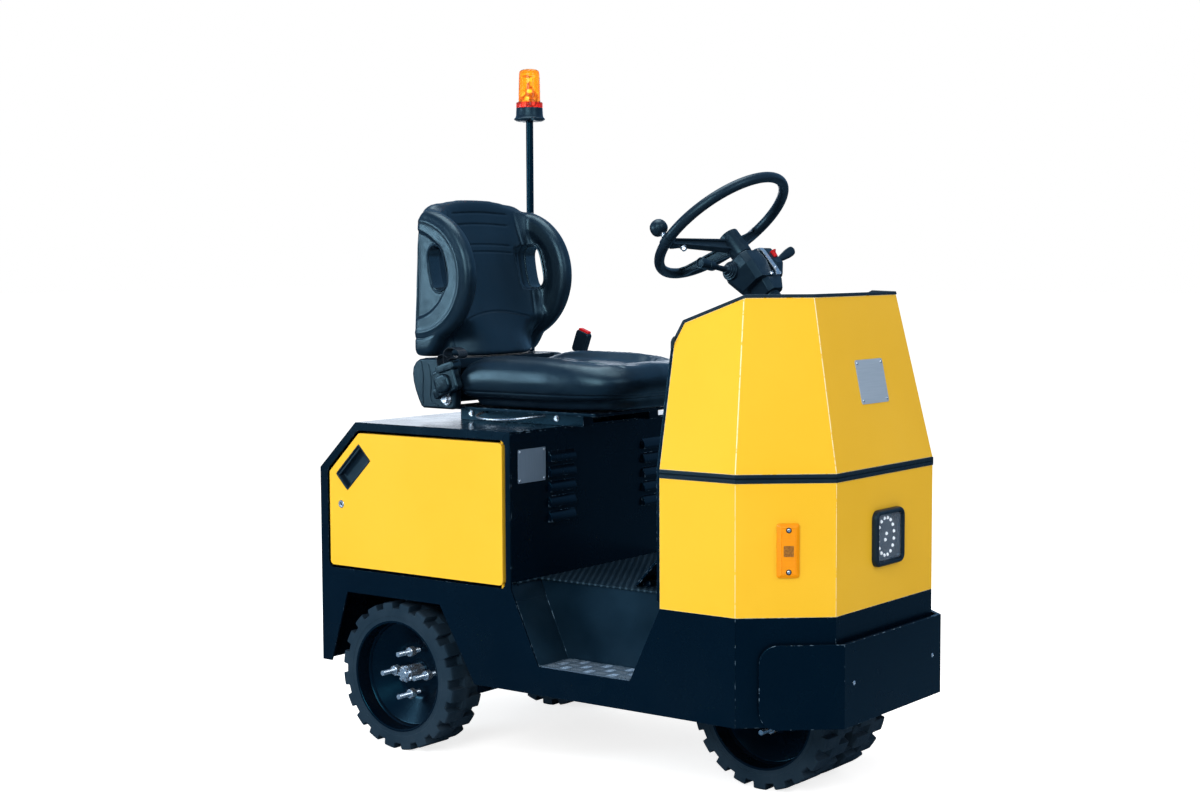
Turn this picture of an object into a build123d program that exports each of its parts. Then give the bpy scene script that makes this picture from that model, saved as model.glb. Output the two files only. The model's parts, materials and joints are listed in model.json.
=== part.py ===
from build123d import *
from math import atan, atan2, cos, degrees, hypot, radians, sin, sqrt, tan
import os

# Electric airport baggage tug, millimetres. +X is forward, +Y is the driver's left, +Z is up,
# and the origin is on the ground under the middle of the whole vehicle.

# Hull
half_width = 400
hull_length = 1561
bumper_reach = 26
hitch_reach = 100
sheet = 5
z_skirt = 220
z_sill = 485
z_floor = 501
z_bevel = 762
z_deck = 893
bevel_run = 137
box_length = 686
cowl_run = 403
crease_run = 184
nose_half = 243
cowl_start = hull_length - cowl_run
crease_start = hull_length - crease_run

# Rear arch, measured from the axle, and steps, measured from the rear plane
arch_foot = (-238, 288)
arch_head = (-174, 167)
z_arch = 420
step_foot = (box_length + 89, cowl_start - 92)
z_step = 294
step_sheet = 4
floor_lip = 8

# Cowl
cowl_sheet = 4
z_belt = 806
belt_height = 21
belt_proud = 2
z_top = 1243
lean = 0.209
z_back = 1130
z_dash_low = 1181
dash_set = 24
top_run = 191
back_round = 30
trim_width = 8
trim_proud = 2

# Doors
door_start = 36
door_end = box_length - 27
z_door_low = 492
z_door_high = 863
door_bevel = (113, 111)
door_corner = 12
door_skin = 3
door_depth = 20
door_gap = 8
hinge_gap = 11
hinge_in = 6
hinge_deep = 10
hinge_pin = 4
hinge_drop = 20
hinge_rise = 12
hinge_lug = (30, 26)
hinge_lug_tall = 8
pin_play = 0.3

# Wheels
wheel_radius = 203
tyre_width = 127
tyre_bore = 152.5
lug_count = 20
lug_gap = 25
lug_depth = 16
lug_reach = 52
rim_wall = 6.5
dish_start = 47
dish_depth = 92
dish_sheet = 8
hub_face = 75
stud_circle = 58.5
stud_radius = 7
stud_tip = 7
rear_axle_start = 272
front_overhang = 276
front_axle_start = hull_length - front_overhang
rear_face = half_width - 8
front_gap = 40
running_gap = 0.3

# Turntable between the two rails, and the inner wall of the steps outside them
turn_radius = 140
slew_lip = 10
turn_clear = 30
rail_width = 50
rail_gap = 42
rail_y = turn_radius + slew_lip + turn_clear + rail_width / 2
step_inner = rail_y + rail_width / 2 + rail_gap
step_depth = half_width - step_inner

# Places along the vehicle
x_rear = (hitch_reach - hull_length - bumper_reach) / 2
x_box = x_rear + box_length
x_cowl = x_rear + cowl_start
x_crease = x_rear + crease_start
x_nose = x_rear + hull_length
x_axle_rear = x_rear + rear_axle_start
x_axle_front = x_rear + front_axle_start
x_door = (x_rear + door_start, x_rear + door_end)
z_belt_top = z_belt + belt_height
z_cut = z_floor - sheet
slant = hypot(hull_length - crease_start, half_width - nose_half)
slant_x = (half_width - nose_half) / slant
slant_y = (hull_length - crease_start) / slant
beyond = 2 * half_width

os.makedirs("parts", exist_ok=True)


def nose_plan(inset, x_back):
    """Plan corners of the nose with every facet moved in by inset and its open end at x_back."""
    side = half_width - inset
    x_fold = x_crease - inset * (1 - slant_y) / slant_x
    y_fold = nose_half - inset * (1 - slant_x) / slant_y
    x_face = x_nose - inset
    return [
        (x_back, -side), (x_fold, -side), (x_face, -y_fold),
        (x_face, y_fold), (x_fold, side), (x_back, side),
    ]


def nose_shell(outer, inner, low, high, x_back):
    """Upright folded wall round the nose, from one inset to a larger one."""
    with BuildPart() as wall:
        with BuildSketch(Plane.XY.offset(low)):
            Polygon(*nose_plan(outer, x_back), align=None)
            Polygon(*nose_plan(inner, x_back - 50), align=None, mode=Mode.SUBTRACT)
        extrude(amount=high - low)
    return wall.part


def cowl_body(inset, back_room, low):
    """Solid body of the cowl: upright up to the belt, then every facet leans in to the top."""
    with BuildPart() as body:
        with BuildSketch(Plane.XY.offset(low)):
            Polygon(*nose_plan(inset, x_cowl - back_room), align=None)
        extrude(amount=z_belt_top - low)
        with BuildSketch(Plane.XY.offset(z_belt_top)):
            Polygon(*nose_plan(inset, x_cowl - back_room), align=None)
        extrude(amount=z_top + 20 - z_belt_top, taper=degrees(atan(lean)))
    return body.part


def cowl_profile():
    """Side outline of the upper cowl, which runs on past the nose."""
    with BuildSketch(Plane.XZ) as outline:
        with BuildLine():
            Polyline(
                (x_cowl, z_belt_top), (x_cowl, z_back), (x_cowl + dash_set, z_dash_low),
                (x_cowl + top_run, z_top), (x_nose + sheet, z_top), (x_nose + sheet, z_belt_top), close=True,
            )
        make_face()
        corners = outline.vertices().filter_by_position(Axis.X, x_cowl - 1, x_cowl + dash_set + 1)
        fillet(corners.filter_by_position(Axis.Z, z_back - 1, z_dash_low + 1), radius=back_round)
    return outline.sketch


# Side plates carry the doors, the rear arch and the notch of the step
bevel_rise = z_deck - z_bevel


def door_outline(grow, grow_front):
    """Corners of a door, or of its opening when grown."""
    low = z_door_low - grow
    high = z_door_high + grow
    start = x_door[0] - grow
    end = x_door[1] + grow_front
    cut = grow * 0.4
    return [
        (start, low), (end, low), (end, high),
        (start + door_bevel[0] + cut, high), (start, high - door_bevel[1] - cut),
    ]


x_hinge = x_door[1] - hinge_in
y_hinge = half_width - hinge_deep

with BuildPart() as side_plates:
    with BuildSketch(Plane.XZ.offset(half_width)):
        Polygon(
            (x_rear, z_skirt), (x_axle_rear + arch_foot[0], z_skirt), (x_axle_rear + arch_head[0], z_arch),
            (x_axle_rear + arch_head[1], z_arch), (x_axle_rear + arch_foot[1], z_skirt), (x_crease, z_skirt),
            (x_crease, z_sill), (x_cowl, z_sill), (x_rear + step_foot[1], z_step),
            (x_rear + step_foot[0], z_step), (x_box, z_sill), (x_box, z_deck),
            (x_rear + bevel_run, z_deck), (x_rear, z_bevel), align=None,
        )
    extrude(amount=-sheet)
    with BuildSketch(Plane.XZ.offset(half_width)) as opening:
        Polygon(*door_outline(door_gap, hinge_gap), align=None)
        fillet(opening.vertices(), radius=door_corner + door_gap)
    extrude(amount=-sheet, mode=Mode.SUBTRACT)
    for z_lug in (z_door_low - hinge_drop, z_door_high + hinge_rise):
        with BuildSketch(Plane.XY.offset(z_lug)):
            with Locations((x_hinge, -(half_width - sheet))):
                Rectangle(hinge_lug[0], hinge_lug[1], align=(Align.CENTER, Align.MIN))
            with Locations((x_hinge, -y_hinge)):
                Circle(hinge_pin + pin_play, mode=Mode.SUBTRACT)
        extrude(amount=hinge_lug_tall)
    mirror(about=Plane.XZ)
side_plates.part.label = "side_plates"
export_step(side_plates.part, "parts/side_plates.step")

# Rear wall folded into the bevel, between the side plates
fold = atan2(bevel_rise, bevel_run)
fold_drop = sheet * tan((radians(90) - fold) / 2)
with BuildPart() as rear_plate:
    with BuildSketch(Plane.XZ):
        Polygon(
            (x_rear, z_skirt), (x_rear, z_bevel), (x_rear + bevel_run, z_deck),
            (x_rear + bevel_run, z_deck - sheet / cos(fold)), (x_rear + sheet, z_bevel - fold_drop),
            (x_rear + sheet, z_skirt), align=None,
        )
    extrude(amount=half_width - sheet, both=True)
rear_plate.part.label = "rear_plate"
export_step(rear_plate.part, "parts/rear_plate.step")

with BuildPart() as deck:
    with BuildSketch(Plane.XY.offset(z_deck - sheet)):
        with Locations((x_rear + bevel_run, 0)):
            Rectangle(box_length - bevel_run, 2 * (half_width - sheet), align=(Align.MIN, Align.CENTER))
    extrude(amount=sheet)
deck.part.label = "deck"
export_step(deck.part, "parts/deck.step")

# Front wall of the box with two columns of pressed louvres
louvre_width = 108
louvre_height = 28
louvre_pitch = 40
louvre_rise = 11
louvre_bulge = 7.5
louvre_skin = 2
louvre_rows = 5
z_louvre = 643
louvre_columns = (-186, 234)
with BuildPart() as box_front:
    with BuildSketch(Plane.YZ.offset(x_box - sheet)):
        with Locations((0, z_floor)):
            Rectangle(2 * (half_width - sheet), z_deck - sheet - z_floor, align=(Align.CENTER, Align.MIN))
        for y_column in louvre_columns:
            for row in range(louvre_rows):
                with Locations((y_column, z_louvre + row * louvre_pitch + louvre_height / 2)):
                    Rectangle(louvre_width, louvre_height, mode=Mode.SUBTRACT)
    extrude(amount=sheet)
    for shrink, mode in ((0, Mode.ADD), (louvre_skin, Mode.SUBTRACT)):
        for y_column in louvre_columns:
            for row in range(louvre_rows):
                foot = z_louvre + row * louvre_pitch
                head = foot + louvre_height
                with BuildSketch(Plane.XZ.offset(-y_column)):
                    with BuildLine():
                        ThreePointArc(
                            (x_box - shrink, head - shrink),
                            (x_box + louvre_bulge - shrink, head - louvre_height / 3 - shrink),
                            (x_box + louvre_rise - shrink, foot),
                        )
                        Polyline(
                            (x_box + louvre_rise - shrink, foot), (x_box - sheet, foot),
                            (x_box - sheet, head - shrink), (x_box - shrink, head - shrink),
                        )
                    make_face()
                extrude(amount=louvre_width / 2 - shrink, both=True, mode=mode)
box_front.part.label = "box_front"
export_step(box_front.part, "parts/box_front.step")

# Floor of the box, the footwell and the cowl in one plate
with BuildPart() as floor_plate:
    with BuildSketch(Plane.XY.offset(z_cut)):
        with Locations((x_rear + sheet, 0)):
            Rectangle(
                box_length - sheet, 2 * (half_width - door_depth - door_gap), align=(Align.MIN, Align.CENTER)
            )
        with Locations((x_box, 0)):
            Rectangle(
                cowl_start - box_length, 2 * (half_width - step_depth + floor_lip),
                align=(Align.MIN, Align.CENTER),
            )
        Polygon(*nose_plan(cowl_sheet, x_cowl), align=None)
    extrude(amount=sheet)
floor_plate.part.label = "floor_plate"
export_step(floor_plate.part, "parts/floor_plate.step")

# Step wells: sloped ends, inner wall and bottom, open at the top and outside
with BuildPart() as step_wells:
    with BuildSketch(Plane.XZ.offset(step_inner - step_sheet)):
        Polygon(
            (x_rear + step_foot[0] - 60, z_step - step_sheet),
            (x_rear + step_foot[1] + 60, z_step - step_sheet),
            (x_cowl + step_sheet, z_cut), (x_box - step_sheet, z_cut), align=None,
        )
    extrude(amount=step_depth + step_sheet - sheet)
    slope = (z_sill - z_step)
    with BuildSketch(Plane.XZ.offset(step_inner)):
        Polygon(
            (x_rear + step_foot[0], z_step), (x_rear + step_foot[1], z_step),
            (x_rear + step_foot[1] + (x_cowl - x_rear - step_foot[1]) * (z_floor - z_step) / slope, z_floor),
            (x_rear + step_foot[0] - (x_rear + step_foot[0] - x_box) * (z_floor - z_step) / slope, z_floor),
            align=None,
        )
    extrude(amount=step_depth, mode=Mode.SUBTRACT)
    with BuildSketch(Plane.XZ.offset(step_inner - step_sheet)):
        for foot, head, way in ((step_foot[0], x_box, -1), (step_foot[1], x_cowl, 1)):
            Polygon(
                (x_rear + foot + way * step_sheet, z_step - step_sheet - 1), (head + way * step_sheet, z_cut + 1),
                (head + way * 120, z_cut + 1), (head + way * 120, z_step - step_sheet - 1), align=None,
            )
    extrude(amount=step_depth + step_sheet, mode=Mode.SUBTRACT)
    mirror(about=Plane.XZ)
step_wells.part.label = "step_wells"
export_step(step_wells.part, "parts/step_wells.step")

tread_play = 6
with BuildPart() as step_treads:
    with BuildSketch(Plane.XY.offset(z_step)):
        with Locations((x_rear + step_foot[0] + tread_play, -step_inner - tread_play)):
            Rectangle(
                step_foot[1] - step_foot[0] - 2 * tread_play, step_depth - tread_play - sheet,
                align=(Align.MIN, Align.MAX),
            )
    extrude(amount=3)
    mirror(about=Plane.XZ)
step_treads.part.label = "step_treads"
export_step(step_treads.part, "parts/step_treads.step")

# Two box rails and three cross members under the floor
rail_height = 60
rail_front_gap = 85
cross_members = (x_rear + 40, x_box - 46, x_cowl - 138)
z_rail = z_cut - rail_height
with BuildPart() as frame_rails:
    with BuildSketch(Plane.XY.offset(z_rail)):
        for side in (-1, 1):
            with Locations((x_rear + sheet, side * rail_y)):
                Rectangle(
                    hull_length - sheet - rail_front_gap, rail_width, align=(Align.MIN, Align.CENTER)
                )
        for x_cross in cross_members:
            with Locations((x_cross, 0)):
                Rectangle(rail_width, 2 * rail_y)
    extrude(amount=rail_height)
frame_rails.part.label = "frame_rails"
export_step(frame_rails.part, "parts/frame_rails.step")

# Nose skirt, lower cowl, belt and upper cowl
with BuildPart() as nose_skirt:
    add(nose_shell(0, sheet, z_skirt, z_sill, x_crease))
nose_skirt.part.label = "nose_skirt"
export_step(nose_skirt.part, "parts/nose_skirt.step")

lamp_width = 145
lamp_height = 140
z_lamp = 650
lamp_wall = 12
with BuildPart() as lower_cowl:
    add(nose_shell(0, cowl_sheet, z_sill, z_belt, x_cowl))
    with BuildSketch(Plane.YZ.offset(x_nose)):
        with Locations((0, z_lamp)):
            RectangleRounded(lamp_width - 2 * lamp_wall, lamp_height - 2 * lamp_wall, 8)
    extrude(amount=-30, mode=Mode.SUBTRACT)
lower_cowl.part.label = "lower_cowl"
export_step(lower_cowl.part, "parts/lower_cowl.step")

with BuildPart() as belt_strip:
    add(nose_shell(-belt_proud, cowl_sheet, z_belt, z_belt_top, x_cowl))
belt_strip.part.label = "belt_strip"
export_step(belt_strip.part, "parts/belt_strip.step")

cowl_back = trim_width + lean * (z_top + 20 - z_belt_top) + 50
with BuildPart() as upper_cowl:
    add(cowl_body(0, cowl_back, z_belt_top - 10))
    add(cowl_body(cowl_sheet, 2 * cowl_back, z_belt_top - 20), mode=Mode.SUBTRACT)
    with BuildSketch(Plane.XZ):
        add(cowl_profile())
    extrude(amount=beyond, both=True, mode=Mode.INTERSECT)
upper_cowl.part.label = "upper_cowl"
export_step(upper_cowl.part, "parts/upper_cowl.step")

with BuildPart() as cowl_trim:
    add(cowl_body(-trim_proud, cowl_back, z_belt_top - 10))
    add(cowl_body(cowl_sheet + trim_proud, 2 * cowl_back, z_belt_top - 20), mode=Mode.SUBTRACT)
    with BuildSketch(Plane.XZ):
        add(cowl_profile())
        offset(amount=trim_width, kind=Kind.INTERSECTION)
        add(cowl_profile(), mode=Mode.SUBTRACT)
        with Locations((x_cowl - trim_width, z_back + trim_width)):
            Rectangle(beyond, beyond, align=(Align.MIN, Align.MAX), mode=Mode.SUBTRACT)
    extrude(amount=beyond, both=True, mode=Mode.INTERSECT)
cowl_trim.part.label = "cowl_trim"
export_step(cowl_trim.part, "parts/cowl_trim.step")

# Black panel behind the cowl, with the leg opening, folded into the dash and the top
back_sheet = 9
leg_half = half_width - 100
z_leg = 800
with BuildPart() as dash_back:
    add(cowl_body(0, cowl_back, z_floor))
    with BuildSketch(Plane.XZ):
        with Locations((x_cowl - back_sheet, z_floor)):
            Rectangle(back_sheet, z_back - z_floor, align=(Align.MIN, Align.MIN))
    extrude(amount=beyond, both=True, mode=Mode.INTERSECT)
    with BuildSketch(Plane.YZ.offset(x_cowl - back_sheet)):
        with Locations((0, z_floor)):
            Rectangle(2 * leg_half, z_leg - z_floor, align=(Align.CENTER, Align.MIN))
    extrude(amount=back_sheet, mode=Mode.SUBTRACT)
with BuildPart() as dash_top:
    add(cowl_body(cowl_sheet, cowl_back, z_belt))
    with BuildSketch(Plane.XZ):
        add(cowl_profile())
        with BuildSketch(Plane.XZ, mode=Mode.SUBTRACT):
            add(cowl_profile())
            offset(amount=-cowl_sheet, kind=Kind.INTERSECTION)
        with Locations((x_cowl, z_back - back_round)):
            Rectangle(beyond, beyond, align=(Align.MIN, Align.MAX), mode=Mode.SUBTRACT)
    extrude(amount=beyond, both=True, mode=Mode.INTERSECT)
wheel_tilt = 40
steer_origin = (x_cowl - 84, 0, 1420)
steer_axis = (-sin(radians(wheel_tilt)), 0, cos(radians(wheel_tilt)))
steer = Plane(
    origin=steer_origin, x_dir=(cos(radians(wheel_tilt)), 0, sin(radians(wheel_tilt))), z_dir=steer_axis
)
column_radius = 24
column_end = -300
column_hole = 120
with BuildPart() as dash_panel:
    add(dash_back.part)
    add(dash_top.part)
    with BuildSketch(steer.offset(column_end)):
        Circle(column_radius + running_gap)
    extrude(amount=column_hole, mode=Mode.SUBTRACT)
dash_panel.part.label = "dash_panel"
export_step(dash_panel.part, "parts/dash_panel.step")

# Bumper plate stands off the nose, its ends wrap onto the slanted facets
bumper_sheet = 10
bumper_half = 246
z_bumper = (218, 422)
bumper_corner = 45
wing_length = 205
facet = Plane(
    origin=(x_crease, -half_width, 0), x_dir=(slant_y, slant_x, 0), z_dir=(slant_x, -slant_y, 0)
)
wing_stand = slant_x * (x_nose + bumper_reach - x_crease) + slant_y * (bumper_half - half_width)
wing_end = (x_nose + bumper_reach - x_crease) * slant_y + (half_width - bumper_half) * slant_x
z_bumper_mid = sum(z_bumper) / 2
bumper_tall = z_bumper[1] - z_bumper[0]
with BuildPart() as bumper:
    with BuildSketch(Plane.YZ.offset(x_nose + bumper_reach)):
        with Locations((0, z_bumper_mid)):
            Rectangle(2 * bumper_half, bumper_tall)
    extrude(amount=-bumper_sheet)
    with BuildSketch(facet.offset(wing_stand)) as wing:
        with Locations((wing_end, z_bumper_mid)):
            Rectangle(wing_length, bumper_tall, align=(Align.MAX, Align.CENTER))
        fillet(wing.vertices().group_by(Axis.X)[0], radius=bumper_corner)
    extrude(amount=-bumper_sheet)
    mirror(about=Plane.XZ)
    for y_spacer in (-150, 150):
        with BuildSketch(Plane.YZ.offset(x_nose)):
            with Locations((y_spacer, z_bumper_mid)):
                Rectangle(40, bumper_tall - 60)
        extrude(amount=bumper_reach - bumper_sheet)
bumper.part.label = "bumper"
export_step(bumper.part, "parts/bumper.step")

# Headlight on the front, marker lamps on the slanted facets, tail lamps on the rear wall
bezel_proud = 16
with BuildPart() as headlight_bezel:
    with BuildSketch(Plane.YZ.offset(x_nose)):
        with Locations((0, z_lamp)):
            RectangleRounded(lamp_width, lamp_height, 14)
            RectangleRounded(lamp_width - 2 * lamp_wall, lamp_height - 2 * lamp_wall, 8, mode=Mode.SUBTRACT)
    extrude(amount=bezel_proud)
    chamfer(headlight_bezel.faces().sort_by(Axis.X)[-1].outer_wire().edges(), length=4)
headlight_bezel.part.label = "headlight_bezel"
export_step(headlight_bezel.part, "parts/headlight_bezel.step")

with BuildPart() as headlight_lens:
    with BuildSketch(Plane.YZ.offset(x_nose - 20)):
        with Locations((0, z_lamp)):
            RectangleRounded(lamp_width - 2 * lamp_wall, lamp_height - 2 * lamp_wall, 8)
    extrude(amount=30)
headlight_lens.part.label = "headlight_lens"
export_step(headlight_lens.part, "parts/headlight_lens.step")

tail_inset = 70
z_tail = 640
tail_size = (80, 150)
tail_deep = 24
marker_at = 126
z_marker = 646
with BuildPart() as marker_lamps:
    with BuildSketch(facet):
        with Locations((marker_at, z_marker)):
            RectangleRounded(54, 130, 5)
    extrude(amount=8)
    with BuildSketch(facet.offset(8)):
        with Locations((marker_at, z_marker)):
            Rectangle(46, 84)
    extrude(amount=14, taper=8)
    mirror(about=Plane.XZ)
marker_lamps.part.label = "marker_lamps"
export_step(marker_lamps.part, "parts/marker_lamps.step")

with BuildPart() as tail_lamps:
    with BuildSketch(Plane.YZ.offset(x_rear)):
        for side in (-1, 1):
            with Locations((side * (half_width - tail_inset), z_tail)):
                RectangleRounded(tail_size[0], tail_size[1], 8)
    extrude(amount=-tail_deep)
tail_lamps.part.label = "tail_lamps"
export_step(tail_lamps.part, "parts/tail_lamps.step")

# Doors with a return flange, hinge pins at the front edge, and a black pull cup
pull_long = 124
pull_short = 63
pull_deep = 22
pull_wall = 3
pull_at = (x_rear + 126, 768)
lock_at = (x_rear + 79, 663)
lock_radius = 11
pin_end = 2
pull_turn = degrees(atan2(door_bevel[1], door_bevel[0]))
for side, name in ((-1, "right"), (1, "left")):
    face = Plane.XZ.offset(-side * half_width)
    with BuildPart() as door:
        with BuildSketch(face) as outline:
            Polygon(*door_outline(0, 0), align=None)
            fillet(outline.vertices(), radius=door_corner)
        extrude(amount=side * door_depth)
        with BuildSketch(face.offset(side * door_skin)) as hollow:
            Polygon(*door_outline(0, 0), align=None)
            fillet(hollow.vertices(), radius=door_corner)
            offset(amount=-door_skin)
        extrude(amount=side * door_depth, mode=Mode.SUBTRACT)
        with BuildSketch(face):
            with Locations(Location((*pull_at, 0), pull_turn)):
                Rectangle(pull_long, pull_short)
            with Locations(lock_at):
                Circle(lock_radius)
        extrude(amount=side * door_depth, mode=Mode.SUBTRACT)
        pin_low = z_door_low - hinge_drop + pin_end
        pin_high = z_door_high + hinge_rise + hinge_lug_tall
        for low, high in ((pin_low, z_door_low + door_skin), (z_door_high - door_skin, pin_high)):
            with BuildSketch(Plane.XY.offset(low)):
                with Locations((x_hinge, side * y_hinge)):
                    Circle(hinge_pin)
            extrude(amount=high - low)
    door.part.label = f"door_{name}"
    export_step(door.part, f"parts/door_{name}.step")

    with BuildPart() as pull:
        with BuildSketch(face):
            with Locations(Location((*pull_at, 0), pull_turn)):
                Rectangle(pull_long, pull_short)
            with Locations(lock_at):
                Circle(lock_radius)
        extrude(amount=side * pull_deep)
        with BuildSketch(face):
            with Locations(Location((*pull_at, 0), pull_turn)):
                Rectangle(pull_long - 2 * pull_wall, pull_short - 2 * pull_wall)
        extrude(amount=side * (pull_deep - pull_wall), mode=Mode.SUBTRACT)
    pull.part.label = f"door_pull_{name}"
    export_step(pull.part, f"parts/door_pull_{name}.step")

# Battery: the one heavy block closed in the box
battery_start = 150
battery_room = (56, 100)
battery_tall = 300
with BuildPart() as battery:
    with BuildSketch(Plane.XY.offset(z_floor)):
        with Locations((x_rear + battery_start, 0)):
            Rectangle(
                box_length - battery_start - battery_room[0], 2 * (half_width - battery_room[1]),
                align=(Align.MIN, Align.CENTER),
            )
    extrude(amount=battery_tall)
battery.part.label = "battery"
export_step(battery.part, "parts/battery.step")

# Wheels


def spoke_plane(x, face, outward):
    """Half section of a wheel: first axis is the radius, second the depth from the outer face."""
    return Plane(origin=(x, outward * face, wheel_radius), x_dir=(0, 0, 1), z_dir=(outward, 0, 0))


def make_tyre(x, face, outward, turn):
    """Solid press-on tyre with square notches in both shoulders, staggered by half a pitch."""
    axle = Axis((x, 0, wheel_radius), (0, 1, 0))
    with BuildPart() as tyre:
        with BuildSketch(spoke_plane(x, face, outward)):
            with Locations((tyre_bore, 0)):
                Rectangle(wheel_radius - tyre_bore, tyre_width, align=(Align.MIN, Align.MIN))
        revolve(axis=axle)
        for start, shift in ((0, 0), (tyre_width - lug_reach, 180 / lug_count)):
            side_face = Plane(
                origin=(x, outward * (face - start), wheel_radius), x_dir=(1, 0, 0), z_dir=(0, -outward, 0)
            )
            with BuildSketch(side_face):
                with PolarLocations(wheel_radius - lug_depth, lug_count, start_angle=turn + shift):
                    Rectangle(lug_depth + 10, lug_gap, align=(Align.MIN, Align.CENTER))
            extrude(amount=lug_reach, mode=Mode.SUBTRACT)
    return tyre.part


def make_rim(x, face, outward):
    """Dished steel rim with four long studs."""
    axle = Axis((x, 0, wheel_radius), (0, 1, 0))
    inner = tyre_bore - rim_wall
    with BuildPart() as rim:
        with BuildSketch(spoke_plane(x, face, outward)):
            with Locations((inner, 0)):
                Rectangle(rim_wall, tyre_width, align=(Align.MIN, Align.MIN))
            Polygon(
                (inner, dish_start), (hub_face, dish_depth), (0, dish_depth),
                (0, dish_depth + dish_sheet), (hub_face, dish_depth + dish_sheet),
                (inner, dish_start + dish_sheet), align=None,
            )
        revolve(axis=axle)
        hub_plane = Plane(
            origin=(x, outward * (face - dish_depth), wheel_radius), x_dir=(1, 0, 0), z_dir=(0, outward, 0)
        )
        with BuildSketch(hub_plane):
            with PolarLocations(stud_circle, 4):
                RegularPolygon(stud_radius, 6)
        extrude(amount=dish_depth - stud_tip)
    return rim.part


# Rear wheels: each rim carries the drive shaft inwards and the castellated nut outwards
hub_shaft = 30
shaft_length = 125
nut_radius = 24
nut_tall = 52
nut_slot = 8
nut_slot_deep = 10
flange_rear = rear_face - dish_depth - dish_sheet
for side, name in ((-1, "right"), (1, "left")):
    with BuildPart() as tyre_rear:
        add(make_tyre(x_axle_rear, rear_face, side, 0))
    tyre_rear.part.label = f"tyre_rear_{name}"
    export_step(tyre_rear.part, f"parts/tyre_rear_{name}.step")
    with BuildPart() as rim_rear:
        add(make_rim(x_axle_rear, rear_face, side))
        hub_centre = (x_axle_rear, side * flange_rear, wheel_radius)
        outwards = Plane(origin=hub_centre, x_dir=(1, 0, 0), z_dir=(0, side, 0))
        with BuildSketch(outwards):
            Circle(hub_shaft)
        extrude(amount=-shaft_length)
        with BuildSketch(outwards.offset(dish_sheet)):
            RegularPolygon(nut_radius, 6)
        extrude(amount=nut_tall)
        with BuildSketch(outwards.offset(dish_sheet + nut_tall - nut_slot_deep)):
            for turn in (30, 90, 150):
                Rectangle(3 * nut_radius, nut_slot, rotation=turn)
            Circle(nut_radius / 2, mode=Mode.SUBTRACT)
        extrude(amount=nut_slot_deep, mode=Mode.SUBTRACT)
    rim_rear.part.label = f"rim_rear_{name}"
    export_step(rim_rear.part, f"parts/rim_rear_{name}.step")

# Rear axle: tube that the shafts turn in, hangers up to the rails, gearbox and motor at the middle
axle_tube = 38
gear_radius = 105
gear_half = 70
hanger_long = 120
motor_radius = 95
motor_length = 260
motor_rise = 20
tube_end = flange_rear - 27
with BuildPart() as rear_axle:
    with BuildSketch(Plane.XZ):
        with Locations((x_axle_rear, wheel_radius)):
            Circle(axle_tube)
    extrude(amount=tube_end, both=True)
    with BuildSketch(Plane.XZ):
        with Locations((x_axle_rear, wheel_radius)):
            Circle(gear_radius)
    extrude(amount=gear_half, both=True)
    with BuildSketch(Plane.XY.offset(wheel_radius)):
        for side in (-1, 1):
            with Locations((x_axle_rear, side * rail_y)):
                Rectangle(hanger_long, rail_width)
    extrude(amount=z_rail - wheel_radius)
    for side in (-1, 1):
        with BuildSketch(Plane.XZ.offset(side * tube_end)):
            with Locations((x_axle_rear, wheel_radius)):
                Circle(hub_shaft + running_gap)
        extrude(amount=-side * (tube_end - flange_rear + shaft_length + running_gap), mode=Mode.SUBTRACT)
rear_axle.part.label = "rear_axle"
export_step(rear_axle.part, "parts/rear_axle.step")

with BuildPart() as drive_motor:
    with BuildSketch(Plane.YZ.offset(x_axle_rear + gear_radius)):
        with Locations((0, wheel_radius + motor_rise)):
            Circle(motor_radius)
    extrude(amount=motor_length)
drive_motor.part.label = "drive_motor"
export_step(drive_motor.part, "parts/drive_motor.step")

# Twin front wheels on one turning shaft, in a carrier that steers under the floor
front_face = front_gap / 2 + tyre_width
front_turn = 180 / lug_count
shaft_radius = 25
flange_y = front_face - dish_depth - dish_sheet
with BuildPart() as tyres_front:
    for side in (-1, 1):
        add(make_tyre(x_axle_front, front_face, side, front_turn))
tyres_front.part.label = "tyres_front"
export_step(tyres_front.part, "parts/tyres_front.step")

with BuildPart() as rims_front:
    for side in (-1, 1):
        add(make_rim(x_axle_front, front_face, side))
    with BuildSketch(Plane.XZ):
        with Locations((x_axle_front, wheel_radius)):
            Circle(shaft_radius)
    extrude(amount=flange_y, both=True)
rims_front.part.label = "rims_front"
export_step(rims_front.part, "parts/rims_front.step")

carrier_web = 24
carrier_tube = 55
carrier_half = flange_y - 7
web_head = 90
spigot = 60
spigot_tall = 40
z_turn = 424
turn_sheet = 20
with BuildPart() as steer_carrier:
    with BuildSketch(Plane.XZ):
        with Locations((x_axle_front, wheel_radius)):
            Circle(carrier_tube)
    extrude(amount=carrier_half, both=True)
    with BuildSketch(Plane.XZ):
        Polygon(
            (x_axle_front - carrier_tube, wheel_radius), (x_axle_front + carrier_tube, wheel_radius),
            (x_axle_front + web_head, z_turn), (x_axle_front - web_head, z_turn), align=None,
        )
    extrude(amount=carrier_web / 2, both=True)
    with BuildSketch(Plane.XY.offset(z_turn)):
        with Locations((x_axle_front, 0)):
            Circle(turn_radius)
    extrude(amount=turn_sheet)
    with BuildSketch(Plane.XY.offset(z_turn + turn_sheet)):
        with Locations((x_axle_front, 0)):
            Circle(spigot)
    extrude(amount=spigot_tall)
    with BuildSketch(Plane.XZ):
        with Locations((x_axle_front, wheel_radius)):
            Circle(shaft_radius + running_gap)
    extrude(amount=carrier_half, both=True, mode=Mode.SUBTRACT)
steer_carrier.part.label = "steer_carrier"
export_step(steer_carrier.part, "parts/steer_carrier.step")

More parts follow.
